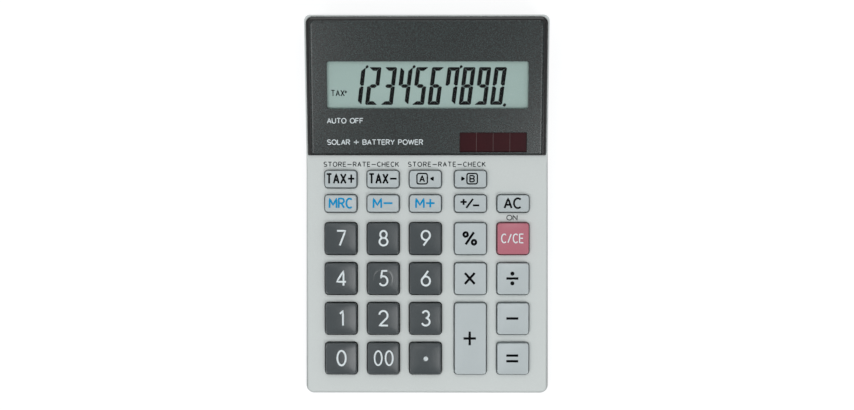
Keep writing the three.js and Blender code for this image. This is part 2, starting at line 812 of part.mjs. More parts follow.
// Rear case: shallow tub with foot recesses, screw wells, ribs, label recess and battery compartment
function rearCase() {
  const tray = (inset, z0, z1) => {
    const rings = [caseRing(inset, level(z0)), caseRing(inset, level(z1))];
    return solid(loft(rings, caseFold));
  };
  const edge = roundedEdge(edgeRadius, tubEdgeSteps).reverse();
  const outer = loft([
    ...edge.map(([inset, rise]) => caseRing(inset, level(footStand + rise))),
    caseRing(0, level(partingHeight - seatGap)),
  ], caseFold);
  const lipTop = partingHeight + lipHeight;
  let shell = solid(outer)
    .add(tray(lipOuter, floorTop, lipTop))
    .subtract(tray(lipOuter + lipThickness, floorTop, lipTop + overrun));
  const inFloor = floorTop - floorThickness / 2;
  const ribX = caseWidth / 2 - lipOuter - lipThickness / 2;
  for (let y = coverRear + ribSpacing; y < footY + ribThickness; y += ribSpacing) {
    shell = shell.add(block(-ribX, ribX, y, y + ribThickness, inFloor, floorTop + ribHeight));
  }
  const footTop = footStand + footSink + footPlay;
  corners.forEach(([sx, sy]) => {
    const x = sx * bossX;
    const y = sy * bossY;
    shell = shell
      .add(rod(x, y, wellOuter, inFloor, wellTop))
      .subtract(rod(x, y, bossRadius + seatGap, wellTop, lipTop + overrun))
      .subtract(rod(x, y, wellRadius, -overrun, screwSeat + headPlay))
      .subtract(rod(x, y, screwRadius + pilotGap, -overrun, wellTop + overrun, screwSides))
      .subtract(rod(sx * footX, sy * footY, footRadius + footPlay, -overrun, footTop));
  });
  const labelBox = [-labelWidth / 2, labelWidth / 2, -labelDepth / 2, labelDepth / 2];
  const label = roundedBlock(...labelBox, -overrun, footStand + labelSink, coverRadius);
  return batteryCompartment(shell.subtract(label));
}

// Opening for the cover, the ledge above it, the cup round the cell and the boss for the cover's screw
const coverBox = [batteryX - coverHalf, batteryX + coverHalf, coverFront, coverRear];

function batteryCompartment(shell) {
  const ledgeTopZ = floorTop + ledgeThickness;
  const cupTop = batteryTop - cupBelowTop;
  const halfTongue = tongueWidth / 2 + coverPlay;
  const pilot = smallScrewRadius + pilotGap;
  return shell
    .add(block(...grown(coverBox, ledgeBorder), floorTop - floorThickness / 2, ledgeTopZ))
    .subtract(roundedBlock(...grown(coverBox, coverPlay), -overrun, floorTop, coverRadius + coverPlay))
    .add(rod(batteryX, batteryY, cupOuter, floorTop, cupTop))
    .add(rod(batteryX, coverScrewY, pilot + coverBossWall, floorTop, coverScrewTip + 2 * seatGap))
    .subtract(rod(batteryX, batteryY, cupInner, -overrun, cupTop + overrun))
    .subtract(block(
      contactX - contactThickness / 2 - seatGap, batteryX - batteryRadius,
      batteryY - cupOuter, batteryY + contactWidth / 2 + seatGap, ledgeTopZ, cupTop + overrun,
    ))
    .subtract(block(
      batteryX - halfTongue, batteryX + halfTongue,
      coverFront - tongueReach - coverPlay, coverFront + tongueRoot + 2 * coverPlay,
      floorTop, ledgeTopZ + overrun,
    ))
    .subtract(rod(
      batteryX, coverScrewY, pilot, floorTop - overrun, coverScrewTip + seatGap, screwSides,
    ));
}

// Battery cover with a tongue at its front and a countersunk screw hole at its rear
function batteryCover() {
  const tongueLow = floorTop + coverPlay;
  const tongueTop = tongueLow + tongueThickness;
  const [x0, x1] = [batteryX - tongueWidth / 2, batteryX + tongueWidth / 2];
  const tongueRear = coverFront + tongueRoot;
  const inCover = coverTop - coverThickness / 2;
  const seat = coverBottom + smallHeadHeight + headPlay;
  const headHole = smallHeadRadius + headPlay;
  const shankHole = smallScrewRadius + headPlay;
  return roundedBlock(...coverBox, coverBottom, coverTop, coverRadius)
    .add(block(x0, x1, coverFront - tongueReach, tongueRear, tongueLow, tongueTop))
    .add(block(x0, x1, coverFront + coverPlay, tongueRear, inCover, tongueTop))
    .subtract(rod(batteryX, coverScrewY, headHole, coverBottom - overrun, seat, screwSides))
    .subtract(rod(batteryX, coverScrewY, shankHole, coverBottom, coverTop + overrun, screwSides));
}

// Button cell, its smaller cap upwards
function battery() {
  return loft([
    circleRing(batteryX, batteryY, batteryRadius, batteryBottom),
    circleRing(batteryX, batteryY, batteryRadius, batteryTop - batteryStep),
    circleRing(batteryX, batteryY, batteryCapRadius, batteryTop - batteryStep),
    circleRing(batteryX, batteryY, batteryCapRadius, batteryTop),
  ]);
}

// Contact beside the cell, with a tab on the solder strip
function contactPlus() {
  const x0 = contactX - contactThickness / 2;
  const x1 = x0 + contactThickness;
  const low = floorTop + ledgeThickness + seatGap;
  const tabLow = boardEdge.z + seatGap;
  const riserFront = boardEdge.y + seatGap;
  const riserRear = riserFront + contactTab / 2;
  return block(x0, x1, riserFront, batteryY + contactWidth / 2, low, batteryTop - cupBelowTop)
    .add(block(x0, x1, riserFront, riserRear, low, tabLow + contactThickness))
    .add(block(x0, x0 + contactTab, boardEdge.y - contactTab, riserRear, tabLow, tabLow + contactThickness));
}

// Contact over the cell's cap, stepping up to the solder strip
function contactMinus() {
  const half = contactThickness / 2;
  const onCell = batteryTop + seatGap + half;
  const onBoard = boardEdge.z + seatGap + half;
  const step = boardEdge.y + seatGap + contactThickness;
  const path = [
    new THREE.Vector2(batteryY + batteryCapRadius, onCell),
    new THREE.Vector2(step, onCell),
    new THREE.Vector2(step, onBoard),
    new THREE.Vector2(boardEdge.y - contactTab, onBoard),
  ];
  return strip(path, contactThickness, batteryX - contactWidth / 2, batteryX + contactWidth / 2);
}

// Assembly
function add(group, name, shape, material) {
  const geometry = geometryOf(shape.isBufferGeometry ? solid(shape) : shape);
  geometry.computeVertexNormals();
  const mesh = new THREE.Mesh(geometry, material);
  mesh.name = name;
  group.add(mesh);
}

const calculator = new THREE.Group();
const keyboard = new THREE.Group();
const display = new THREE.Group();
keyboard.applyMatrix4(keyboardFrame);
display.applyMatrix4(displayFrame);
calculator.add(keyboard, display);

add(calculator, "front_case", frontCase(), finishes.frontCase);
add(calculator, "rear_case", rearCase(), finishes.rearCase);
add(display, "display_bezel", displayBezel(), finishes.bezel);
add(display, "face_plate", facePlate(), finishes.face);
add(display, "lcd_window", block(...lensBox, lensTop - lensThickness, lensTop), finishes.lens);
add(display, "lcd_glass", lcdGlass(), finishes.glass);
add(display, "lcd_holder", lcdHolder(), finishes.holder);
add(display, "solar_cell", block(...cellBox, lensTop - cellThickness, lensTop), finishes.solar);
add(calculator, "lcd_ribbon", lcdRibbon(), finishes.ribbon);
add(calculator, "solar_lead_red", solarLead(1), finishes.redWire);
add(calculator, "solar_lead_black", solarLead(-1), finishes.blackWire);
keys.forEach((key) => add(keyboard, `key_${key.name}`, keyCap(key), keyFinish(key.name)));
add(keyboard, "keypad_mat", keypadMat(), finishes.mat);
add(keyboard, "main_pcb", mainBoard(), finishes.board);
add(keyboard, "chip_blob", chipBlob(), finishes.resin);
add(keyboard, "capacitor", capacitor(), finishes.sleeve);
pillars.forEach(([x, y], i) => {
  const seat = boardBottom - seatGap;
  const shape = screw(x, y, smallScrewRadius, smallHeadRadius, smallHeadHeight, seat, -deckThickness);
  add(keyboard, `pcb_screw_${i + 1}`, shape, finishes.steel);
});
add(calculator, "battery", battery(), finishes.steel);
add(calculator, "contact_plus", contactPlus(), finishes.steel);
add(calculator, "contact_minus", contactMinus(), finishes.steel);
add(calculator, "battery_cover", batteryCover(), finishes.rearCase);
const coverSeat = coverBottom + smallHeadHeight;
const coverScrew = screw(
  batteryX, coverScrewY, smallScrewRadius, smallHeadRadius, smallHeadHeight, coverSeat, coverScrewTip,
);
add(calculator, "cover_screw", coverScrew, finishes.steel);
corners.forEach(([sx, sy], i) => {
  const head = [screwRadius, screwHeadRadius, screwHeadHeight];
  const shape = screw(sx * bossX, sy * bossY, ...head, screwSeat, screwTip);
  add(calculator, `case_screw_${i + 1}`, shape, finishes.steel);
  add(calculator, `foot_${i + 1}`, foot(sx * footX, sy * footY), finishes.rubber);
});

export default calculator;
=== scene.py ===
import json
import math

import bmesh
import bpy
from mathutils import Matrix, Vector
from mathutils.geometry import delaunay_2d_cdt


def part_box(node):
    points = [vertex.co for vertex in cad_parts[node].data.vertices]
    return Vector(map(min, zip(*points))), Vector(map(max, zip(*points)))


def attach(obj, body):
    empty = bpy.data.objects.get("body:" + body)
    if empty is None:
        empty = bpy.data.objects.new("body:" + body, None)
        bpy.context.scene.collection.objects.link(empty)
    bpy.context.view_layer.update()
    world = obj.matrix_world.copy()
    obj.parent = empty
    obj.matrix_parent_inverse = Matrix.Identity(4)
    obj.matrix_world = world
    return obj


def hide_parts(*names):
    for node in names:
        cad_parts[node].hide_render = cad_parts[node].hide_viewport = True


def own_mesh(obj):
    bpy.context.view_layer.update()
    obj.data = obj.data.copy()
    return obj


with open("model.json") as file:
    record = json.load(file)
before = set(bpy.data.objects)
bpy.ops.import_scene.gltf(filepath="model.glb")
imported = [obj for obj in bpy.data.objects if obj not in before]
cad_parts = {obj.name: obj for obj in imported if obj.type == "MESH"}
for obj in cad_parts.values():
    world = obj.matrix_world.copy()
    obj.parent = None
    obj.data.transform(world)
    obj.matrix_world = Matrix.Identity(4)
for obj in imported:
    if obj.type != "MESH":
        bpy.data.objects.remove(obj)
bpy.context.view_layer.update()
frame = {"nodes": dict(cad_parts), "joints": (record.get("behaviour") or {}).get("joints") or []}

# Everything is drawn in millimetres on its own plane, and scaled to metres when it is put in place
mm = 0.001
toMetres = Matrix.Scale(mm, 4)
hair = 0.001  # a difference too small to see

case = {
    "displaySlope": 11.5,      # degrees; the keyboard's slope is the keys' own direction
    "frontHeight": 10.3,       # of the deck's plane at the very front
    "keyboardLength": 106.27,  # up the slope, to the line where the display begins
    "cornerRadius": 3.5, "cornerSteps": 10,
    "tightest": 0.4,           # least radius of a corner
    "rimInset": 0.8,           # the front shell stands this far inside the rear one
    "edgeFade": 4.0,           # its rounded edge turns sharper beside the display
    "wall": 1.6, "deck": 2.0, "floor": 1.6, "footStand": 0.8,
    "parting": 4.0,            # lowest edge of the front shell, in the rear one's rim
    "rimTop": 4.7, "ledge": 3.7,
    "rimWidth": 0.43,          # a fine groove is left between the two
}
corners = [(-1, -1), (1, -1), (1, 1), (-1, 1)]
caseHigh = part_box("rear_case")[1] / mm
halfWidth, halfDepth = caseHigh.x, caseHigh.y
floorTop = case["footStand"] + case["floor"]


def slopedPlane(y, z, slope):
    return Matrix.Translation((0, y, z)) @ Matrix.Rotation(slope, 4, "X")


pressAxis = frame["joints"][0]["axis"]
keyboardSlope = math.atan2(pressAxis[1], -pressAxis[2])
displaySlope = math.radians(case["displaySlope"])
keyboardPlane = slopedPlane(-halfDepth, case["frontHeight"], keyboardSlope)
junction = keyboardPlane @ Vector((0, case["keyboardLength"], 0))
displayPlane = slopedPlane(junction.y, junction.z, displaySlope)
level = Matrix.Identity(4)


def surfaceAt(y):
    slope = keyboardSlope if y <= junction.y else displaySlope
    return junction.z + (y - junction.y) * math.tan(slope)


def planeBox(node, plane):  # x0, x1, y0, y1, z0, z1 of a CAD node, measured on that plane
    back = plane.inverted()
    points = [back @ (vertex.co / mm) for vertex in frame["nodes"][node].data.vertices]
    return [round(pick(p[axis] for p in points), 3) for axis in range(3) for pick in (min, max)]


def grown(box, side, end=None):
    end = side if end is None else end
    return [box[0] - side, box[1] + side, box[2] - end, box[3] + end]


def nudged(box, *moves):  # its edges moved one by one
    return [edge + move for edge, move in zip(box, moves)] + list(box[len(moves):])


def boxAt(x, y, halfX, halfY):
    return [x - halfX, x + halfX, y - halfY, y + halfY]


def middle(box):
    return (box[0] + box[1]) / 2, (box[2] + box[3]) / 2


# Loops of points, anticlockwise seen from above
def arc(x, y, rx, ry, start, stop, steps=12):
    angles = [math.radians(start + (stop - start) * i / steps) for i in range(steps + 1)]
    return [(x + rx * math.cos(a), y + ry * math.sin(a)) for a in angles]


def circle(x, y, radius, sides=32):
    return arc(x, y, radius, radius, 0, 360, sides)[:-1]


def roundedLoop(box, radius, steps=6, rearRadius=None, side=1):
    x0, x1, y0, y1 = box[:4]
    rear = radius if rearRadius is None else rearRadius
    centres = [(x1 - rear, y1 - rear, rear), (x0 + rear, y1 - rear, rear),
               (x0 + radius, y0 + radius, radius), (x1 - radius, y0 + radius, radius)]
    arcs = [arc(x, y, r, r, 90 * i, 90 * i + 90, steps) for i, (x, y, r) in enumerate(centres)]
    loop = []
    for now, after in zip(arcs, arcs[1:] + arcs[:1]):
        (ax, ay), (bx, by) = now[-1], after[0]
        loop += now
        loop += [(ax + (bx - ax) * k / side, ay + (by - ay) * k / side) for k in range(1, side)]
    return loop


def grownLoop(box, radius, side, steps=6):
    return roundedLoop(grown(box, side), radius + side, steps)


def caseLoop(inset, rearInset=None):  # starts at the right end of the junction line
    rearInset = inset if rearInset is None else rearInset
    steps = case["cornerSteps"]
    wide, radius = halfWidth - rearInset, max(case["cornerRadius"] - rearInset, case["tightest"])
    x, y = wide - radius, halfDepth - rearInset - radius
    rear = arc(x, y, radius, radius, 0, 90, steps) + arc(-x, y, radius, radius, 90, 180, steps)
    narrow, radius = halfWidth - inset, max(case["cornerRadius"] - inset, case["tightest"])
    x, y = narrow - radius, halfDepth - inset - radius
    front = arc(-x, -y, radius, radius, 180, 270, steps) + arc(x, -y, radius, radius, 270, 360, steps)
    fadeY = junction.y - case["edgeFade"]
    return [(wide, junction.y), *rear, (-wide, junction.y), (-narrow, fadeY), *front, (narrow, fadeY)]


caseHalf = 2 * case["cornerSteps"] + 3  # the left end of the junction line in that loop


def scaled(loop, share):
    return [(x * share, y * share) for x, y in loop]


def raised(loop, z):
    return [Vector((x, y, z)) for x, y in loop]


def dropped(loop, drop):  # on the case's top, or so far below it
    return [Vector((x, y, surfaceAt(y) - drop)) for x, y in loop]


def onPlane(plane, loop, z):
    return [plane @ point for point in raised(loop, z)]


def filletSteps(radius, steps=4):  # inset and drop, from the foot of a rounded edge to its crown
    angles = [math.pi / 2 * i / steps for i in range(steps + 1)]
    return [(radius * (1 - math.cos(a)), radius * (1 - math.sin(a))) for a in angles]


def lowEdge(loopAt, z, radius, steps=4):  # loops with their heights, from a rounded edge's crown down at z
    return [(loopAt(inset), z + drop) for inset, drop in reversed(filletSteps(radius, steps))]


def highEdge(loopAt, z, radius, steps=4):  # and up to one at z
    return [(loopAt(inset), z - drop) for inset, drop in filletSteps(radius, steps)]


# A skin is grown from rings of points, bridged one to the next, and closed by flat sheets
def newSkin():
    return {"points": [], "faces": []}


def addRing(skin, points):
    first = len(skin["points"])
    skin["points"] += [tuple(point) for point in points]
    return list(range(first, first + len(points)))


def bridge(skin, low, high):
    skin["faces"] += zip(low, low[1:] + low[:1], high[1:] + high[:1], high)


def addTower(skin, rings, closed=False):
    made = [addRing(skin, points) for points in rings]
    for low, high in zip(made, made[1:]):
        bridge(skin, low, high)
    if closed:
        addSheet(skin, made[-1])
    return made


def stack(skin, *steps, plane=level, closed=False):  # a tower of flat loops, each with its height
    return addTower(skin, [onPlane(plane, loop, z) for loop, z in steps], closed)


def lathe(skin, profile, sides, x=0, y=0):  # from radii and heights
    return stack(skin, *[(circle(x, y, radius, sides), z) for radius, z in profile], closed=True)


def addSheet(skin, outer, holes=(), plane=level):  # fills a loop of point numbers round its holes
    back = plane.inverted()
    numbers, loops = [], []
    for loop in [outer, *holes]:
        loops.append(range(len(numbers), len(numbers) + len(loop)))
        numbers += loop
    flat = [(back @ Vector(skin["points"][number])).to_2d() for number in numbers]
    filled = delaunay_2d_cdt(flat, [], loops, 2, 1e-6)  # 2: triangles, with the holes left open
    skin["faces"] += [tuple(numbers[filled[3][i][0]] for i in triangle) for triangle in filled[2]]


def addObject(name, data):
    piece = bpy.data.objects.new(name, data)
    bpy.context.scene.collection.objects.link(piece)
    return piece


def closeEnds(skin, tower, holes=()):  # the holes are towers too, drawn from its top to its foot
    addSheet(skin, tower[0], [hole[-1] for hole in holes])
    addSheet(skin, tower[-1], [hole[0] for hole in holes])


def skinObject(skin, name, sharp=32):
    mesh = bpy.data.meshes.new(name)
    mesh.from_pydata(skin["points"], [], skin["faces"])
    shaper = bmesh.new()
    shaper.from_mesh(mesh)
    bmesh.ops.recalc_face_normals(shaper, faces=shaper.faces)
    shaper.to_mesh(mesh)
    shaper.free()
    mesh.shade_smooth()
    mesh.set_sharp_from_angle(angle=math.radians(sharp))
    return addObject(name, mesh)


def weighNormals(piece):  # big flat faces keep their own direction beside small rounded edges
    weigh = piece.modifiers.new("Weigh normals", "WEIGHTED_NORMAL")
    weigh.keep_sharp = True
    weigh.weight = 100


def settled(source, place=level, bend=None):  # the evaluated shape as a plain mesh, put in its place
    depsgraph = bpy.context.evaluated_depsgraph_get()
    mesh = bpy.data.meshes.new_from_object(source.evaluated_get(depsgraph), depsgraph=depsgraph)
    for vertex in mesh.vertices if bend else []:
        vertex.co = bend(vertex.co)
    mesh.transform(toMetres @ place)
    name = source.name
    source.name = name + "_draft"
    piece = addObject(name, mesh)
    bpy.data.objects.remove(source)
    return piece


def handOver(piece, slotName, *nodes, body="case", finish=None):
    if finish:
        piece.data.materials.clear()
        piece.data.materials.append(finishes[finish])
    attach(piece, body)
    if nodes:
        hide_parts(*nodes)


def shellPiece(skin, name, finish, slotName, *nodes, place=level, sharp=32):
    piece = settled(skinObject(skin, name, sharp), place)
    weighNormals(piece)
    handOver(piece, slotName, *nodes, finish=finish)


# Materials: every finish has its own colour drift, flecks, wear in its gloss, and grain
def wire(tree, kind, inputs=None, **settings):
    node = tree.nodes.new(kind)
    for name, value in settings.items():
        setattr(node, name, value)
    for name, value in (inputs or {}).items():
        socket = node.inputs[name]
        if isinstance(value, bpy.types.NodeSocket):
            tree.links.new(value, socket)
        else:
            socket.default_value = value
    return node


def shade(color, factor=1.0):  # 0 to 255 display values to a linear colour
    parts = [min(max(part * factor / 255, 0), 1) for part in color]
    return [p / 12.92 if p <= 0.04045 else ((p + 0.055) / 1.055) ** 2.4 for p in parts] + [1]


def noise(tree, coordinates, size, detail=3.0, roughness=0.5):
    inputs = {"Vector": coordinates, "Scale": 1 / (size * mm), "Detail": detail, "Roughness": roughness}
    return wire(tree, "ShaderNodeTexNoise", inputs).outputs["Fac"]


def spread(tree, value, low, high, fromLow=0.3, fromHigh=0.7):
    inputs = {"Value": value, "From Min": fromLow, "From Max": fromHigh, "To Min": low, "To Max": high}
    return wire(tree, "ShaderNodeMapRange", inputs).outputs["Result"]


def blendColors(tree, factor, first, second):
    return wire(tree, "ShaderNodeMix", {0: factor, 6: first, 7: second}, data_type="RGBA").outputs[2]


plainLook = {
    "drift": 0.04,       # share by which the colour wanders over the piece
    "patch": 25.0,       # size of those patches
    "fleck": 0.35,       # size of the flecks
    "fleckLift": 0.05,   # share by which they are lighter
    "rough": 0.45,
    "roughDrift": 0.03,
    "grain": 0.25,       # size and depth of the surface's grain
    "grainDepth": 0.01,
    "stretch": (1, 1, 1),
    "metal": 0.0,
    "alpha": 1.0,
    "gloss": 0.5,        # level of its mirror light
}
finishes = {}


def addFinish(name, color, **own):
    look = {**plainLook, **own}
    material = finishes[name] = bpy.data.materials.new(name)
    material.use_nodes = True
    tree = material.node_tree
    shader = tree.nodes["Principled BSDF"]
    object3d = wire(tree, "ShaderNodeTexCoord").outputs["Object"]
    place = wire(tree, "ShaderNodeMapping", {"Vector": object3d, "Scale": look["stretch"]}).outputs["Vector"]
    even = blendColors(tree, spread(tree, noise(tree, place, look["patch"]), 0, 1),
                       shade(color, 1 - look["drift"]), shade(color, 1 + look["drift"]))
    specks = spread(tree, noise(tree, place, look["fleck"], detail=2.0, roughness=0.7), 0, 1, fromLow=0.45)
    flecked = blendColors(tree, specks, even, shade(color, 1 + look["fleckLift"]))
    worn = spread(tree, noise(tree, place, look["patch"] / 3, detail=6.0, roughness=0.65),
                  look["rough"] - look["roughDrift"], look["rough"] + look["roughDrift"])
    bump = wire(tree, "ShaderNodeBump", {
        "Height": noise(tree, place, look["grain"], detail=2.0), "Distance": look["grainDepth"] * mm,
        "Strength": 1.0,
    }).outputs["Normal"]
    for socket, output in [("Base Color", flecked), ("Roughness", worn), ("Normal", bump)]:
        tree.links.new(output, shader.inputs[socket])
    for socket, level in [("Metallic", "metal"), ("Alpha", "alpha"), ("Specular IOR Level", "gloss")]:
        shader.inputs[socket].default_value = look[level]
    return material


addFinish("silver_paint", (190, 196, 195), drift=0.006, patch=60.0, fleck=0.3, fleckLift=0.035, rough=0.42,
          grainDepth=0.005, gloss=0.3)
# The rear shell's silver, painted darker than the front shell's as painted shade on its low rim beside the front
# shell; the battery cover and its grip share it
addFinish("tub_plastic", (176, 181, 181), drift=0.008, patch=60.0, rough=0.5, grain=0.5, grainDepth=0.015,
          gloss=0.3)
addFinish("black_gloss", (6, 7, 8), drift=0.1, rough=0.2, grainDepth=0.002, gloss=0.28)
addFinish("flecked_face", (11, 15, 15), drift=0.03, patch=40.0, fleck=0.5, fleckLift=2.9, rough=0.22,
          roughDrift=0.01, grain=0.5, grainDepth=0.008, gloss=0.32)
addFinish("clear_lens", (60, 68, 66), rough=0.08, roughDrift=0.02, grainDepth=0.0005, gloss=0.4, alpha=0.05)
addFinish("display_film", (159, 182, 177), drift=0.008, patch=30.0, fleck=0.2, fleckLift=0.02, rough=0.4,
          grain=0.15, grainDepth=0.003, gloss=0.2)
addFinish("display_segment", (9, 8, 10), drift=0.12, patch=5.0, rough=0.5, grainDepth=0.001, gloss=0.03)
addFinish("display_glass", (190, 205, 198), rough=0.1, grainDepth=0.001)
addFinish("holder_plastic", (228, 228, 222), drift=0.03, rough=0.6)
addFinish("ribbon_film", (70, 56, 40), drift=0.15, fleck=0.4, stretch=(1, 0.02, 0.02), rough=0.5)
addFinish("solar_cell", (44, 9, 15), drift=0.06, patch=6.0, fleck=0.5, fleckLift=0.1, rough=0.3, roughDrift=0.01,
          grainDepth=0.002, gloss=0.07)
addFinish("solar_line", (96, 84, 84), drift=0.1, rough=0.4, gloss=0.1)
addFinish("board_green", (47, 107, 60), drift=0.15, patch=6.0, fleck=0.9, fleckLift=0.3)
addFinish("black_resin", (20, 20, 21), drift=0.2, rough=0.35, roughDrift=0.1)
addFinish("capacitor_sleeve", (30, 44, 88), drift=0.08, rough=0.4)
addFinish("mat_rubber", (214, 214, 208), drift=0.03, rough=0.75, grain=0.4)
addFinish("screw_steel", (176, 176, 172), drift=0.06, patch=3.0, fleck=0.2, fleckLift=0.1, rough=0.34,
          roughDrift=0.1, metal=1.0, stretch=(1, 6, 1))
addFinish("battery_steel", (196, 196, 190), drift=0.05, patch=4.0, rough=0.28, metal=1.0, stretch=(1, 1, 8))
addFinish("foot_rubber", (44, 46, 48), drift=0.1, patch=4.0, fleck=0.3, fleckLift=0.3, rough=0.85, grain=0.5,
          grainDepth=0.05)
addFinish("wire_red", (164, 34, 34), rough=0.5)
addFinish("wire_black", (24, 24, 25), rough=0.5)
for name, color, drift, fleckLift, rough, gloss in [
        ("key_dark", (40, 48, 51), 0.02, 0.25, 0.22, 0.48), ("key_light", (167, 176, 178), 0.008, 0.03, 0.3, 0.4),
        ("key_clear", (164, 93, 107), 0.015, 0.04, 0.3, 0.4)]:
    addFinish(name, color, drift=drift, fleck=0.25, fleckLift=fleckLift, rough=rough, roughDrift=0.01, grain=0.3,
              grainDepth=0.004, gloss=gloss)
for name, color, drift, gloss in [("white_ink", (212, 221, 224), 0.02, 0.15), ("black_ink", (5, 7, 9), 0.1, 0.03),
                                  ("blue_ink", (8, 136, 188), 0.03, 0.1), ("gray_ink", (36, 42, 45), 0.05, 0.1)]:
    addFinish(name, color, drift=drift, patch=3.0, rough=0.5, grainDepth=0.002, gloss=gloss)
print("finishes:", len(finishes))


# Geometry Nodes helpers
def newTree(name, inputs):
    tree = bpy.data.node_groups.new(name, "GeometryNodeTree")
    tree.interface.new_socket("Geometry", in_out="INPUT", socket_type="NodeSocketGeometry")
    for label, kind in inputs.items():
        tree.interface.new_socket(label, in_out="INPUT", socket_type="NodeSocket" + kind)
    tree.interface.new_socket("Geometry", in_out="OUTPUT", socket_type="NodeSocketGeometry")
    return tree, wire(tree, "NodeGroupInput").outputs


def endTree(tree, geometry, material):
    joined = wire(tree, "GeometryNodeRealizeInstances", {"Geometry": geometry}).outputs[0]
    painted = wire(tree, "GeometryNodeSetMaterial", {"Geometry": joined, "Material": material}).outputs[0]
    wire(tree, "NodeGroupOutput", {"Geometry": painted})


def addTree(piece, tree, values):
    modifier = piece.modifiers.new(tree.name, "NODES")
    modifier.node_group = tree
    for item in tree.interface.items_tree:
        if item.in_out == "INPUT" and item.name in values:
            modifier[item.identifier] = values[item.name]


def calculator(tree):
    def calc(operation, *values):
        return wire(tree, "ShaderNodeMath", dict(enumerate(values)), operation=operation).outputs[0]
    return calc


# Copies of one small shape on the points of a mesh, turned by each point's own angle
copiesTree, given = newTree("Copies on points", {"Shape": "Object", "Spin": "Float", "Material": "Material"})
shapeInfo = wire(copiesTree, "GeometryNodeObjectInfo", {"Object": given["Shape"]})
ownTurn = wire(copiesTree, "GeometryNodeInputNamedAttribute", {"Name": "turn"}, data_type="FLOAT").outputs[0]
randomTurn = wire(copiesTree, "FunctionNodeRandomValue", {2: 0.0, 3: 1.0, "Seed": 4}, data_type="FLOAT").outputs[1]
spin = calculator(copiesTree)("MULTIPLY_ADD", randomTurn, given["Spin"], ownTurn)
rotation = wire(copiesTree, "ShaderNodeCombineXYZ", {"Z": spin}).outputs[0]
copies = wire(copiesTree, "GeometryNodeInstanceOnPoints", {
    "Points": given["Geometry"], "Instance": shapeInfo.outputs["Geometry"], "Rotation": rotation,
}).outputs[0]
endTree(copiesTree, copies, given["Material"])


def copiesOf(skin, name, points, finish, place=level, turns=None, spin=0.0):
    shape = skinObject(skin, name + "_shape")
    mesh = bpy.data.meshes.new(name)
    mesh.from_pydata(points, [], [])
    turn = mesh.attributes.new("turn", "FLOAT", "POINT")
    turn.data.foreach_set("value", turns or [0.0] * len(points))
    draft = addObject(name, mesh)
    addTree(draft, copiesTree, {"Shape": shape, "Spin": spin, "Material": finishes[finish]})
    piece = settled(draft, place)
    bpy.data.objects.remove(shape)
    return piece


def copiesPiece(skin, name, points, finish, slotName, *nodes, **options):
    piece = copiesOf(skin, name, points, finish, **options)
    weighNormals(piece)
    handOver(piece, slotName, *nodes)


# Strokes of ink: a flat ribbon along each line, cut often enough to follow a dished key
inkTree, given = newTree("Ink strokes", {"Stroke width": "Float", "Ink height": "Float", "Cuts": "Int",
                                         "Material": "Material"})
fine = wire(inkTree, "GeometryNodeSubdivideCurve", {"Curve": given["Geometry"], "Cuts": given["Cuts"]}).outputs[0]
upright = wire(inkTree, "GeometryNodeSetCurveNormal", {"Curve": fine}, mode="Z_UP").outputs[0]
ribbon = wire(inkTree, "GeometryNodeCurvePrimitiveQuadrilateral", {
    "Width": given["Stroke width"], "Height": given["Ink height"],
}).outputs[0]
inked = wire(inkTree, "GeometryNodeCurveToMesh", {"Curve": upright, "Profile Curve": ribbon, "Fill Caps": True})
endTree(inkTree, inked.outputs[0], given["Material"])

ink = {"height": 0.04, "cuts": 3, "gap": 0.24, "space": 0.3}  # gap and space are shares of a letter's height

bowl = arc(0.3, 0.745, 0.25, 0.255, 90, -90)
stem = [(0, 0), (0, 1)]
ring = arc(0.31, 0.5, 0.31, 0.5, 90, 450, 32)
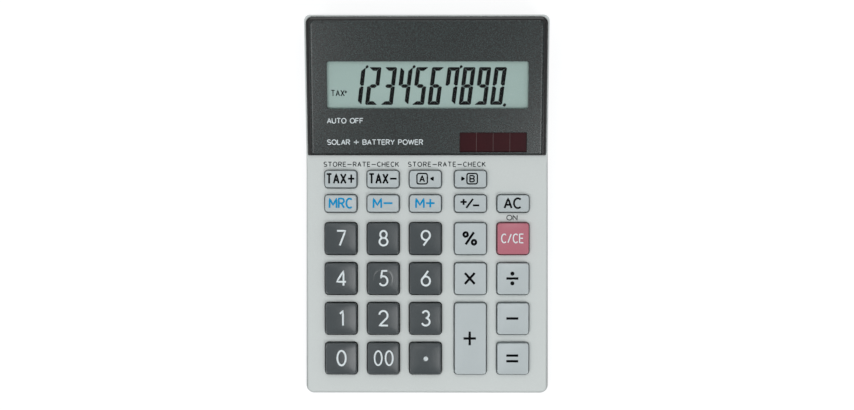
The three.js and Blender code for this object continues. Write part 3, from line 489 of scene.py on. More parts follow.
# Each glyph is a list of strokes in a box one unit high
glyphs = {
    "0": [ring],
    "1": [[(0, 0.8), (0.22, 1), (0.22, 0)]],
    "2": [arc(0.32, 0.69, 0.31, 0.31, 170, -38) + [(0.02, 0), (0.66, 0)]],
    "3": [arc(0.29, 0.755, 0.24, 0.245, 160, -90) + arc(0.29, 0.255, 0.29, 0.255, 90, -160)],
    "4": [[(0.5, 0), (0.5, 1), (0, 0.26), (0.68, 0.26)]],
    "5": [[(0.58, 1), (0.2, 1), (0.12, 0.53)] + arc(0.29, 0.32, 0.31, 0.32, 118, -150)],
    "6": [[(0.48, 1), (0.05, 0.44)], arc(0.31, 0.31, 0.31, 0.31, 90, 450, 28)],
    "7": [[(0, 1), (0.62, 1), (0.2, 0)]],
    "8": [arc(0.31, 0.75, 0.24, 0.25, 90, 450, 28), arc(0.31, 0.26, 0.3, 0.26, 90, 450, 28)],
    "9": [[(0.14, 0), (0.57, 0.56)], arc(0.31, 0.69, 0.31, 0.31, 90, 450, 28)],
    "A": [[(0, 0), (0.3, 1), (0.6, 0)], [(0.11, 0.34), (0.49, 0.34)]],
    "B": [stem + bowl + [(0, 0.49)], [(0.3, 0.49)] + arc(0.3, 0.245, 0.28, 0.245, 90, -90) + [(0, 0)]],
    "C": [arc(0.34, 0.5, 0.34, 0.5, 48, 312, 24)],
    "E": [[(0.5, 1), (0, 1), (0, 0), (0.5, 0)], [(0, 0.52), (0.44, 0.52)]],
    "F": [[(0.5, 1), (0, 1), (0, 0)], [(0, 0.52), (0.42, 0.52)]],
    "H": [stem, [(0.58, 0), (0.58, 1)], [(0, 0.52), (0.58, 0.52)]],
    "K": [stem, [(0.56, 1), (0, 0.4)], [(0.2, 0.6), (0.58, 0)]],
    "L": [[(0, 1), (0, 0), (0.46, 0)]],
    "M": [[(0, 0), (0, 1), (0.36, 0.3), (0.72, 1), (0.72, 0)]],
    "N": [[(0, 0), (0, 1), (0.58, 0), (0.58, 1)]],
    "O": [arc(0.36, 0.5, 0.36, 0.5, 90, 450, 32)],
    "P": [stem + bowl + [(0, 0.49)]],
    "R": [stem + bowl + [(0, 0.49)], [(0.28, 0.49), (0.56, 0)]],
    "S": [arc(0.28, 0.745, 0.25, 0.255, 35, 270) + arc(0.28, 0.245, 0.28, 0.245, 90, -145)],
    "T": [[(0, 1), (0.6, 1)], [(0.3, 1), (0.3, 0)]],
    "Y": [[(0, 1), (0.3, 0.45), (0.6, 1)], [(0.3, 0.45), (0.3, 0)]],
    "U": [[(0, 1)] + arc(0.29, 0.3, 0.29, 0.3, 180, 360) + [(0.58, 1)]],
    "W": [[(0, 1), (0.22, 0), (0.44, 1), (0.66, 0), (0.88, 1)]],
    "X": [[(0, 0), (0.6, 1)], [(0, 1), (0.6, 0)]],
    "+": [[(0, 0.5), (0.8, 0.5)], [(0.4, 0.05), (0.4, 0.95)]],
    "-": [[(0, 0.5), (0.84, 0.5)]],
    "=": [[(0, 0.7), (0.84, 0.7)], [(0, 0.3), (0.84, 0.3)]],
    "*": [[(0, 0.12), (0.68, 0.88)], [(0, 0.88), (0.68, 0.12)]],
    "/": [[(0.0, 0.0), (0.42, 1.0)]],
    "%": [[(0.17, 0), (0.84, 1)], arc(0.17, 0.82, 0.17, 0.18, 0, 360), arc(0.85, 0.18, 0.17, 0.18, 0, 360)],
    ".": [arc(0.083, 0.45, 0.083, 0.083, 0, 360)],
    "_": [[(0, 0.45), (0.8, 0.45)]],
    ":": [[(0, 0.5), (0.84, 0.5)], arc(0.42, 0.84, 0.06, 0.06, 0, 360), arc(0.42, 0.16, 0.06, 0.06, 0, 360)],
    "<": [[(0.34, 0.3), (0, 0.5), (0.34, 0.7), (0.34, 0.3)], [(0.3, 0.5), (0.1, 0.5)]],
    ">": [[(0, 0.3), (0.34, 0.5), (0, 0.7), (0, 0.3)], [(0.04, 0.5), (0.24, 0.5)]],
    "~": [[(0, 0.61), (0.48, 0.61)], [(0.24, 0.35), (0.24, 0.87)], [(0.45, 0.08), (0.96, 0.88)],
          [(0.95, 0.31), (1.44, 0.31)]],  # plus over minus
    " ": [],
}


def glyphWidth(letter):
    xs = [x for stroke in glyphs[letter] for x, _ in stroke]
    return max(xs) - min(xs) if xs else ink["space"]


def lineOfText(words, height, x=0.0, y=0.0, align=0.5, gap=ink["gap"], width=1.0):
    gap = gap / width
    total = sum(glyphWidth(letter) + gap for letter in words) - gap
    pen, strokes = -align * total, []
    for letter in words:
        left = min([px for stroke in glyphs[letter] for px, _ in stroke], default=0)
        for stroke in glyphs[letter]:
            strokes.append([(x + (pen + px - left) * height * width, y + (py - 0.5) * height)
                            for px, py in stroke])
        pen += glyphWidth(letter) + gap
    return strokes


def inkPiece(name, strokes, strokeWidth, finish, place, body="case", bend=None):
    curve = bpy.data.curves.new(name, "CURVE")
    curve.dimensions = "3D"
    for stroke in strokes:
        closed = math.dist(stroke[0], stroke[-1]) < 1e-4
        points = stroke[:-1] if closed else stroke
        spline = curve.splines.new("POLY")
        spline.points.add(len(points) - 1)
        spline.use_cyclic_u = closed
        reach = (max(x for x, _ in points) - min(x for x, _ in points)) / 2
        fill = min(1.0, 2 * reach / strokeWidth) if closed else 1.0  # a small ring closes to a dot
        for point, (x, y) in zip(spline.points, points):
            point.co = (x, y, 0, 1)
            point.radius = fill
    draft = addObject(name, curve)
    addTree(draft, inkTree, {"Stroke width": strokeWidth, "Ink height": ink["height"], "Cuts": ink["cuts"],
                             "Material": finishes[finish]})
    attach(settled(draft, place, bend), body)


# Keys: sizes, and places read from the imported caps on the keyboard's plane
keySizes = {
    "flange": 0.6, "flangeThickness": 0.7,  # under the deck, round the hole
    "holeRadius": 1.7, "holeFillet": 0.1,
    "trim": (0.09, 0.12),  # by which the holes that show are narrower and shorter
    "play": 0.42, "draft": 0.1, "edge": 0.32, "skin": 1.2, "plunger": 1.8, "tightest": 0.4,
    "lift": 0.14,          # up the slope from the middle of the hole
    "dish": 0.3, "fingerRadius": 4.5, "fingerDepth": 0.05,
    "fingerSoft": 0.14,    # share of that radius over which it sinks
    "cornerSteps": 5, "side": 8,
    "topShares": [0.94, 0.84, 0.7, 0.54, 0.36, 0.18],  # rings of the top, as shares of its rim
    "toFinger": [0.12, 0.35, 0.6, 0.85, 1.0],          # or from the rim to the finger dish, and inside it
    "fingerShares": [0.97, 0.94, 0.91, 0.88, 0.85, 0.65, 0.4, 0.2],
}
keyBoxes = {name: planeBox(name, keyboardPlane) for name in frame["nodes"] if name.startswith("key_")}
trimX, trimY = keySizes["trim"]
keyHoles = {name: grown(box, -keySizes["flange"] - trimX, -keySizes["flange"] - trimY)
            for name, box in keyBoxes.items()}

# Front shell: deck with its key holes, platform with the display's recess, and the bosses inside
shell = {
    "chamfer": 0.15, "edge": 1.0, "displayEdge": 0.45,
    "recess": 0.6, "recessPlay": 0.2, "recessFront": 0.1, "frontRadius": 0.4, "panelRadius": 2.8,
    "bossFromEdge": 4.3, "bossRadius": 1.85, "bossFoot": 4.75, "pilot": 1.3, "screwTip": 8.3, "bossSides": 24,
    "pillarRadii": (1.5, 1.0), "pillarFoot": -5.2, "pillarSides": 20,
    "bezelTrim": (0.1, -0.1, -0.13, -0.2),  # moves of a box's left, right, front and rear edge
    "glassHole": (-0.8, 0.8, -1.8, 0.8),
    "leadHole": (3.5, 1.5), "holeCorner": 0.5,
}
bossPlaces = [(x * (halfWidth - shell["bossFromEdge"]), y * (halfDepth - shell["bossFromEdge"]))
              for x, y in corners]
pillarPlaces = [middle(planeBox(f"pcb_screw_{i}", keyboardPlane)) for i in (1, 2)]
bezelBox = nudged(planeBox("display_bezel", displayPlane), *shell["bezelTrim"])
glassBox = planeBox("lcd_glass", displayPlane)
cellBox = planeBox("solar_cell", displayPlane)


def makeFrontShell():
    skin = newSkin()
    rim, under, parting, chamfer = case["rimInset"], case["deck"], case["parting"], shell["chamfer"]
    edge = [[Vector((x, y, surfaceAt(y) - (drop if y < junction.y - hair else rearDrop)))
             for x, y in caseLoop(rim + inset, rim + rearInset)]
            for (inset, drop), (rearInset, rearDrop) in zip(filletSteps(shell["edge"], steps=6),
                                                            filletSteps(shell["displayEdge"], steps=6))]
    outer = addTower(skin, [raised(caseLoop(rim + chamfer), parting),
                            raised(caseLoop(rim), parting + chamfer), *edge])
    innerLoop = caseLoop(rim + case["wall"])
    inner = addTower(skin, [raised(innerLoop, parting), dropped(innerLoop, under)])
    bridge(skin, outer[0], inner[0])
    keyUnder, displayUnder = [-under * math.cos(slope) for slope in (keyboardSlope, displaySlope)]
    wells, pillars, bosses, through = [], [], [], []
    for hole in keyHoles.values():
        loop, *edge = highEdge(lambda inset: grownLoop(hole, keySizes["holeRadius"], inset, steps=5), 0,
                               keySizes["holeFillet"], steps=3)
        wells.append(stack(skin, *reversed(edge), loop, (loop[0], keyUnder), plane=keyboardPlane))
    for x, y in pillarPlaces:
        wide, narrow = [circle(x, y, radius, shell["pillarSides"]) for radius in shell["pillarRadii"]]
        foot = shell["pillarFoot"]
        pillars.append(stack(skin, (wide, keyUnder), (wide, foot), (narrow, foot), (narrow, keyUnder / 2),
                             plane=keyboardPlane, closed=True))
    for x, y in bossPlaces:
        wide, narrow = [circle(x, y, shell[radius], shell["bossSides"]) for radius in ("bossRadius", "pilot")]
        foot = shell["bossFoot"]
        bosses.append(addTower(skin, [dropped(wide, under), raised(wide, foot), raised(narrow, foot),
                                      raised(narrow, shell["screwTip"])], closed=True))
    play, floor = shell["recessPlay"], -shell["recess"]
    around = nudged(bezelBox, -play, play, -shell["recessFront"], play)
    loop = roundedLoop(around, shell["frontRadius"] + play, rearRadius=shell["panelRadius"] + play)
    recess = stack(skin, (loop, 0), (loop, floor), plane=displayPlane)
    for hole in (nudged(glassBox, *shell["glassHole"]), boxAt(*middle(cellBox), *shell["leadHole"])):
        loop = roundedLoop(hole, shell["holeCorner"], steps=3)
        through.append(stack(skin, (loop, floor), (loop, displayUnder), plane=displayPlane))
    addSheet(skin, recess[1], [made[0] for made in through], displayPlane)
    crown, ceiling = outer[-1], inner[1]
    addSheet(skin, crown[caseHalf:] + crown[:1], [made[0] for made in wells])
    addSheet(skin, crown[:caseHalf + 1], [recess[0]])
    addSheet(skin, ceiling[caseHalf:] + ceiling[:1],
             [made[-1] for made in wells] + [made[0] for made in pillars + bosses[:2]])
    addSheet(skin, ceiling[:caseHalf + 1], [made[1] for made in through] + [made[0] for made in bosses[2:]])
    return skin


shellPiece(makeFrontShell(), "front_shell", "silver_paint", "front_shell", "front_case")
print("front shell: deck with", len(keyHoles), "key holes")


# Rear shell: shallow tub with its lip, screw wells, foot and label recesses, and the battery bay
tub = {
    "edge": 1.0, "rimFillet": 0.3, "small": 0.12,
    "lip": (2.7, 3.7, 1.2),  # outer and inner inset, and height over the rim
    "lipFromCorner": 9.0, "lipCorner": 0.3,
    "wellRadius": 2.3, "wellOuter": 2.65, "wellSeat": 2.6, "wellTop": 4.0,
    "footFromEdge": 12.0, "footRadius": 4.65, "footDepth": 1.75,
    "labelHalf": (28.0, 12.0), "labelSink": 0.3, "labelCorner": 2.0,
    "bayPlay": 0.2, "bayBorder": 2.0, "bayTop": 3.6,
    "cupRadii": (6.2, 7.4), "cupTop": 7.1,
    "coverLength": 25.6, "screwFromRear": 4.0, "coverRadius": 2.0,
    "coverBoss": (0.9, 1.9, 5.0, 0.6),  # pilot hole, outer radius, top, and what closes the hole
}
footPlaces = [(x * (halfWidth - tub["footFromEdge"]), y * (halfDepth - tub["footFromEdge"]))
              for x, y in corners]
coverBox = planeBox("battery_cover", level)
coverBox[2] = coverBox[3] - tub["coverLength"]
batteryX, batteryY = middle(planeBox("battery", level))
screwPlace = batteryX, coverBox[3] - tub["screwFromRear"]


def sink(skin, loopAt, depth, *steps, closed=True):  # a recess in the underside, its edge rounded
    edge = lowEdge(loopAt, case["footStand"], tub["small"], steps=3)
    return stack(skin, *edge, (edge[-1][0], depth), *steps, closed=closed)


def makeRearShell():
    skin = newSkin()
    low, rimTop, ledge, groove = [case[size] for size in ("footStand", "rimTop", "ledge", "rimWidth")]
    small, seat, wellTop, bayTop = [tub[size] for size in ("small", "wellSeat", "wellTop", "bayTop")]
    outer = stack(skin, *lowEdge(caseLoop, low, tub["edge"], steps=6),
                  *highEdge(caseLoop, rimTop, tub["rimFillet"]), (caseLoop(groove - small), rimTop),
                  (caseLoop(groove), rimTop - small), (caseLoop(groove), ledge))
    innerLoop = caseLoop(case["wall"])
    inner = stack(skin, (innerLoop, ledge), (innerLoop, floorTop))
    lipOut, lipIn, lipHeight = tub["lip"]
    lipX, lipY = halfWidth - tub["lipFromCorner"], halfDepth - tub["lipFromCorner"]
    above, below = [], []
    for box in [(-lipX, lipX, halfDepth - lipIn, halfDepth - lipOut),
                (-lipX, lipX, lipOut - halfDepth, lipIn - halfDepth),
                (lipOut - halfWidth, lipIn - halfWidth, -lipY, lipY),
                (halfWidth - lipIn, halfWidth - lipOut, -lipY, lipY)]:
        loop = roundedLoop(box, tub["lipCorner"], steps=3)
        above.append(stack(skin, (loop, floorTop), (loop, rimTop + lipHeight), closed=True)[0])
    addSheet(skin, outer[-1], [inner[0]])
    for x, y in footPlaces:
        below.append(sink(skin, lambda grow: circle(x, y, tub["footRadius"] + grow, sides=40), tub["footDepth"])[0])
    for x, y in bossPlaces:
        narrow, wide = circle(x, y, shell["pilot"]), circle(x, y, tub["wellOuter"])
        well = sink(skin, lambda grow: circle(x, y, tub["wellRadius"] + grow), seat,
                    (narrow, seat), (narrow, wellTop), (wide, wellTop), (wide, floorTop), closed=False)
        below.append(well[0])
        above.append(well[-1])
    label = boxAt(0, 0, *tub["labelHalf"])
    below.append(sink(skin, lambda grow: grownLoop(label, tub["labelCorner"], grow), low + tub["labelSink"])[0])
    bay = grown(coverBox, tub["bayPlay"])
    opening = sink(skin, lambda grow: grownLoop(bay, tub["coverRadius"], grow), floorTop, closed=False)
    below.append(opening[0])
    inCup, outCup = [circle(batteryX, batteryY, radius, sides=48) for radius in tub["cupRadii"]]
    cup = stack(skin, (inCup, floorTop), (inCup, tub["cupTop"]), (outCup, tub["cupTop"]), (outCup, bayTop))
    pilot, bossRadius, bossTop, bossCap = tub["coverBoss"]
    narrow, wide = [circle(*screwPlace, radius, sides=24) for radius in (pilot, bossRadius)]
    hole = stack(skin, (narrow, floorTop), (narrow, bossTop - bossCap), closed=True)
    boss = stack(skin, (wide, bayTop), (wide, bossTop), closed=True)
    addSheet(skin, opening[-1], [cup[0], hole[0]])
    loop = roundedLoop(grown(coverBox, tub["bayBorder"]), tub["coverRadius"])
    border = stack(skin, (loop, bayTop), (loop, floorTop))
    addSheet(skin, border[0], [cup[-1], boss[0]])
    addSheet(skin, outer[0], below)
    addSheet(skin, inner[1], above + [border[1]])
    return skin


shellPiece(makeRearShell(), "rear_shell", "tub_plastic", "rear_shell", "rear_case")

cover = {
    "top": 2.2, "bottom": 0.9, "edge": 0.3, "screwHole": 1.6, "shank": 0.9, "seat": 1.9,
    "tongueHalf": 4.0, "tongueFronts": (0.2, -1.5), "tongueRoot": 1.0, "tongueCorner": 0.2, "tongue": (2.6, 3.4),
    "grip": (4.5, 0.35, 0.25, 0.1),  # half length and width, height, and how far it reaches into the cover
    "gripEdge": (0.12, 0.2), "gripCount": 5, "gripPitch": 1.5, "gripFromFront": 4.0,
}


def makeCover():
    skin = newSkin()
    bottom, top, seat = cover["bottom"], cover["top"], cover["seat"]
    edge = lowEdge(lambda inset: grownLoop(coverBox, tub["coverRadius"], -inset), bottom, cover["edge"])
    sides = stack(skin, *edge, (edge[-1][0], top))
    head, shank = [circle(*screwPlace, cover[radius]) for radius in ("screwHole", "shank")]
    hole = stack(skin, (head, bottom), (head, seat), (shank, seat), (shank, top))
    left, right, front = batteryX - cover["tongueHalf"], batteryX + cover["tongueHalf"], coverBox[2]
    foot, tongue = [roundedLoop((left, right, front + reach, front + cover["tongueRoot"]), cover["tongueCorner"],
                                steps=3) for reach in cover["tongueFronts"]]
    low, high = cover["tongue"]
    latch = stack(skin, (foot, top), (foot, low), (tongue, low), (tongue, high), closed=True)
    addSheet(skin, sides[0], [hole[0]])
    addSheet(skin, sides[-1], [hole[-1], latch[0]])
    return skin


shellPiece(makeCover(), "cover_plate", "tub_plastic", "rear_shell", "battery_cover")
print("rear shell and battery cover")


# Display: black frame, flecked face plate, lens, film and solar cells
display = {
    "frontRadius": 0.4, "tightest": 0.15,
    "rim": (0.95, 0.55, 1.1),  # at the sides, the front and the rear, as the insets below
    "rimEdge": [(0.0, 0.0, 0.0, 0.32), (0.03, 0.12, 0.45, 0.16), (0.1, 0.3, 0.9, 0.0)],  # insets and drop
    "rimInner": [(0.5, 0.0), (0.05, 0.045), (0.0, 0.095)],  # from the pocket's sides, and drop
    "rimInnerEnds": 0.2,       # the same at the front and the rear, as a share of that
    "floor": 1.0,              # thickness under the face plate
    "pocketRadius": 2.3, "openingPlay": 0.15, "openingRadius": 0.3,
    "plateTrim": (0.5, -0.6, -0.25, -0.75), "windowTrim": (0.25, 0.45, -0.4),  # moves of edges, as above
    "plateRadius": 2.1,
    "roll": (1.0, 0.3, 0.9, 0.42),  # of the plate's edge: side, front, rear and drop
    "rollShares": [(0.0, 1.0), (0.05, 0.72), (0.14, 0.5), (0.6, 0.1), (0.85, 0.02), (1.0, 0.0)],
    "windowRadius": 0.9, "windowEdge": 0.12,
    "lensLap": 1.2, "lensEdge": 0.1, "filmLap": 0.4, "filmThickness": 0.5, "filmEdge": 0.05, "cellLap": 0.4,
}
plateBox = nudged(planeBox("face_plate", displayPlane), *display["plateTrim"])
lensBox = planeBox("lcd_window", displayPlane)
lcdWindow = nudged(grown(lensBox, -display["lensLap"]), *display["windowTrim"])
solarWindow = grown(cellBox, -display["cellLap"])
filmBox = grown(glassBox, -display["filmLap"]) + [glassBox[5], glassBox[5] + display["filmThickness"]]


def makeBezel():
    skin = newSkin()
    bottom, top = bezelBox[4:]
    floor = bottom + display["floor"]

    def frameLoop(side, front, rear, radius):
        corner = max(display["frontRadius"] - side, display["tightest"])
        return roundedLoop(nudged(bezelBox, side, -side, front, -rear), corner, steps=16, rearRadius=radius)

    rings = [(frameLoop(0, 0, 0, shell["panelRadius"]), bottom)]
    rings += [(frameLoop(side, front, rear, shell["panelRadius"] - side), top - drop)
              for side, front, rear, drop in display["rimEdge"]]
    side, front, rear = display["rim"]
    for inset, drop in display["rimInner"]:
        end = inset * display["rimInnerEnds"]
        rings.append((frameLoop(side - inset, front - end, rear - end, display["pocketRadius"]), top - drop))
    made = stack(skin, *rings, (rings[-1][0], floor))
    holes = []
    for box in (lensBox, cellBox):
        loop = roundedLoop(grown(box, display["openingPlay"]), display["openingRadius"], steps=3)
        holes.append(stack(skin, (loop, floor), (loop, bottom)))
    closeEnds(skin, made, holes)
    return skin


def makePlate():
    skin = newSkin()
    bottom, top = plateBox[4:]
    side, front, rear, drop = display["roll"]
    corner, radius, edge = display["frontRadius"], display["plateRadius"], display["windowEdge"]
    rings = [(roundedLoop(plateBox, corner, steps=8, rearRadius=radius), bottom)]
    for share, fall in display["rollShares"]:
        box = nudged(plateBox, side * share, -side * share, front * share, -rear * share)
        loop = roundedLoop(box, corner, steps=8, rearRadius=radius - share * side / 2)
        rings.append((loop, top - drop * fall))
    made = stack(skin, *rings)
    windows = []
    for box, corner in ((lcdWindow, display["windowRadius"]), (solarWindow, display["openingRadius"])):
        loop = roundedLoop(box, corner)
        windows.append(stack(skin, (grownLoop(box, corner, edge), top), (loop, top - edge), (loop, bottom)))
    closeEnds(skin, made, windows)
    return skin


def makeSlab(box, edge, radius=0.3):
    skin = newSkin()
    low, high = box[4:]

    def slabLoop(inset):
        return roundedLoop(grown(box, -inset), radius, steps=4)

    closeEnds(skin, stack(skin, *lowEdge(slabLoop, low, edge, steps=3), *highEdge(slabLoop, high, edge, steps=3)))
    return skin


shellPiece(makeBezel(), "bezel_frame", "black_gloss", "bezel_black", "display_bezel", place=displayPlane, sharp=8)
shellPiece(makePlate(), "face_panel", "flecked_face", "face_panel", "face_plate", place=displayPlane, sharp=12)
shellPiece(makeSlab(lensBox, display["lensEdge"]), "clear_lens", "clear_lens", "clear_lens", "lcd_window",
           place=displayPlane)
shellPiece(makeSlab(filmBox, display["filmEdge"]), "display_film", "display_film", "lcd_glass", place=displayPlane)

solar = {"cells": 4, "gap": 0.14, "rise": 0.06, "edge": 0.12, "tileEdge": (0.02, 0.05)}


def makeSolar():
    low, y = cellBox[5] - solar["rise"], middle(cellBox)[1]
    shellPiece(makeSlab([*cellBox[:5], low], solar["edge"]), "solar_base", "solar_line", "solar_glass",
               "solar_cell", place=displayPlane)
    pitch = (solarWindow[1] - solarWindow[0]) / solar["cells"]
    halfX, halfY = (pitch - solar["gap"]) / 2, (cellBox[3] - cellBox[2]) / 2 - solar["edge"]
    tile = makeSlab(boxAt(0, 0, halfX, halfY) + [0, solar["rise"]], *solar["tileEdge"])
    points = [(solarWindow[0] + pitch * (i + 0.5), y, low) for i in range(solar["cells"])]
    copiesPiece(tile, "solar_cells", points, "solar_cell", "solar_glass", place=displayPlane)


makeSolar()

# Display digits: mitred bars on the seven places of each digit, leaning to the right
digits = {
    "text": "1234567890", "height": 16.55, "width": 5.3, "pitch": 6.85, "bar": 1.8, "flatBar": 1.6, "gap": 0.1,
    "lean": 0.125, "lastX": 30.98, "centerDrop": 0.6, "thickness": 0.05,
    "corner": 0.35, "flatCut": (0.12, 0.25), "sideCut": (0.3, 0.2),  # how the bars' ends are cut
    "tip": 0.55, "sideTip": (0.5, 0.2),  # as shares of a bar, and the side bars' height over the middle
    "commas": (0, 3, 6), "comma": (0.5, 0.2, 0.3), "commaTail": (0.35, 0.5),  # over these digits
    "point": (1.1, -0.1, 0.36),  # like the comma: beside the digit, over its edge, and radius
    "markStroke": 0.7, "signStroke": 0.42,
    "signs": {"TAX": (2.5, -39.4, -3.7), "+": (1.4, -35.9, -3.2)},  # height and place
}
litBars = {"0": "abcdef", "1": "bc", "2": "abdeg", "3": "abcdg", "4": "bcfg", "5": "acdfg", "6": "acdefg",
           "7": "abcf", "8": "abcdefg", "9": "abcdfg"}


def barShapes():  # for each kind of bar: its outline, and the digit's places that it fills, with its turn
    x, y = digits["width"] / 2, digits["height"] / 2
    bar, flat, gap, corner = digits["bar"], digits["flatBar"], digits["gap"], digits["corner"]
    (cutX, cutY), (sideX, sideY), (tipX, tipY) = digits["flatCut"], digits["sideCut"], digits["sideTip"]
    tip = bar * digits["tip"]
    top = [(x - gap - corner, y), (corner + gap - x, y), (gap - x + cutX, y - cutY), (bar + gap - x, y - flat),
           (x - bar - gap, y - flat), (x - gap - cutX, y - cutY)]
    center = [(x - tip, 0), (x - bar - gap, flat / 2), (bar + gap - x, flat / 2), (tip - x, 0),
              (bar + gap - x, -flat / 2), (x - bar - gap, -flat / 2)]
    upper = [(x, y - corner - gap), (x, gap + tipY), (x - bar * tipX, gap), (x - bar, gap + flat / 2),
             (x - bar, y - flat - gap), (x - sideX, y - sideY - gap)]
    lower = [(px, -py) for px, py in reversed(upper)]
    return {"flat": (top, {"a": 0, "d": math.pi}), "center": (center, {"g": 0}),
            "upper": (upper, {"b": 0, "e": math.pi}), "lower": (lower, {"c": 0, "f": math.pi})}


def makeDigits():
    middleX, middleY = middle(lcdWindow)
    firstX = digits["lastX"] - digits["pitch"] * (len(digits["text"]) - 1)
    lean = Matrix.Identity(4)
    lean[0][1] = digits["lean"]
    place = displayPlane @ Matrix.Translation((middleX, middleY - digits["centerDrop"], filmBox[5])) @ lean
    for name, (outline, turns) in barShapes().items():
        skin = newSkin()
        closeEnds(skin, stack(skin, (outline, 0), (outline, digits["thickness"])))
        lit = [(firstX + i * digits["pitch"], turns[bar]) for i, figure in enumerate(digits["text"])
               for bar in litBars[figure] if bar in turns]
        bars = copiesOf(skin, "display_bars_" + name, [(x, 0, 0) for x, _ in lit], "display_segment", place,
                        [turn for _, turn in lit])
        handOver(bars, "resin_black")
    halfX, halfY = digits["width"] / 2, digits["height"] / 2
    (besideX, overY, radius), (tailX, tailY) = digits["comma"], digits["commaTail"]
    marks = []
    for i in digits["commas"]:
        x = firstX + i * digits["pitch"] + halfX + besideX
        marks += [arc(x, halfY + overY, radius, radius, 0, 360, steps=8), [(x, halfY), (x - tailX, halfY - tailY)]]
    besideX, overY, radius = digits["point"]
    marks.append(arc(digits["lastX"] + halfX + besideX, overY - halfY, radius, radius, 0, 360))
    inkPiece("display_points", marks, digits["markStroke"], "display_segment", place)
    signs = [stroke for words, look in digits["signs"].items() for stroke in lineOfText(words, *look)]
    inkPiece("display_sign", signs, digits["signStroke"], "display_segment",
             displayPlane @ Matrix.Translation((middleX, middleY, filmBox[5])))


makeDigits()
print("display: face, lens, solar cells and", len(digits["text"]), "digits")


# Caps: hollow, from rings, with a top that is dished by a node tree
dishTree, given = newTree("Key dish", {**dict.fromkeys(["Half width", "Half length", "Crown", "Dish depth",
                                                        "Finger radius", "Finger depth"], "Float"),
                                       "Material": "Material"})
calc = calculator(dishTree)
spot = wire(dishTree, "ShaderNodeSeparateXYZ", {0: wire(dishTree, "GeometryNodeInputPosition").outputs[0]}).outputs
acrossShare = calc("POWER", calc("DIVIDE", spot["X"], given["Half width"]), 2.0)
alongShare = calc("POWER", calc("DIVIDE", spot["Y"], given["Half length"]), 4.0)
bowlShape = calc("MULTIPLY", calc("SUBTRACT", 1.0, acrossShare), calc("SUBTRACT", 1.0, alongShare))
hollow = calc("MULTIPLY", bowlShape, given["Dish depth"])
away = calc("ADD", calc("MULTIPLY", spot["X"], spot["X"]), calc("MULTIPLY", spot["Y"], spot["Y"]))
reach = calc("DIVIDE", away, calc("MULTIPLY", given["Finger radius"], given["Finger radius"]))
dent = wire(dishTree, "ShaderNodeMapRange", {
    "Value": calc("SQRT", reach), "From Min": 1.0, "From Max": 1 - keySizes["fingerSoft"],
}, interpolation_type="SMOOTHSTEP").outputs[0]
sinking = calc("MULTIPLY", calc("MULTIPLY_ADD", dent, given["Finger depth"], hollow), -1.0)
onTop = calc("GREATER_THAN", spot["Z"], calc("SUBTRACT", given["Crown"], hair))
dished = wire(dishTree, "GeometryNodeSetPosition", {
    "Geometry": given["Geometry"], "Selection": onTop,
    "Offset": wire(dishTree, "ShaderNodeCombineXYZ", {"Z": sinking}).outputs[0],
}).outputs[0]
endTree(dishTree, dished, given["Material"])


def keyTopHeight(x, y, halfX, halfY, crown, finger):  # the same rule, for the ink
    hollowed = (1 - (x / halfX) ** 2) * (1 - (y / halfY) ** 4) * keySizes["dish"]
    share = min(max((1 - math.hypot(x, y) / keySizes["fingerRadius"]) / keySizes["fingerSoft"], 0), 1)
    return crown - hollowed - share * share * (3 - 2 * share) * finger


def capSkin(box, hole, finger):
    skin = newSkin()
    bottom, crown = box[4:]
    flange, play, edge, wall = [keySizes[size] for size in ("flange", "play", "edge", "skin")]
    flangeTop, foot = bottom + keySizes["flangeThickness"], play + keySizes["draft"]
    x, y = middle(hole)
    local = nudged(hole, -x, -x, -y, -y)

    def capLoop(inset):
        radius = max(keySizes["holeRadius"] - inset, keySizes["tightest"])
        return roundedLoop(grown(local, -inset), radius, keySizes["cornerSteps"], side=keySizes["side"])

    rim = capLoop(foot + edge)
    tops = [scaled(rim, share) for share in keySizes["topShares"]]
    if finger:
        radius = keySizes["fingerRadius"]
        ringed = [(px * radius / math.hypot(px, py), py * radius / math.hypot(px, py)) for px, py in rim]
        tops = [[(ax + (bx - ax) * share, ay + (by - ay) * share) for (ax, ay), (bx, by) in zip(rim, ringed)]
                for share in keySizes["toFinger"]]
        tops += [scaled(ringed, share) for share in keySizes["fingerShares"]]
    outer = stack(skin, (capLoop(-flange), bottom), (capLoop(-flange), flangeTop), (capLoop(play), flangeTop),
                  *highEdge(lambda inset: capLoop(foot + inset), crown, edge, steps=5),
                  *[(loop, crown) for loop in tops], closed=True)
    ceiling = crown - keySizes["dish"] - finger - wall
    inner = stack(skin, (capLoop(play + wall), bottom), (capLoop(foot + wall), ceiling))
    bridge(skin, outer[0], inner[0])
    stalk = circle(0, 0, keySizes["plunger"], sides=24)
    plunger = stack(skin, (stalk, ceiling), (stalk, bottom), closed=True)
    addSheet(skin, inner[-1], [plunger[0]])
    return skin


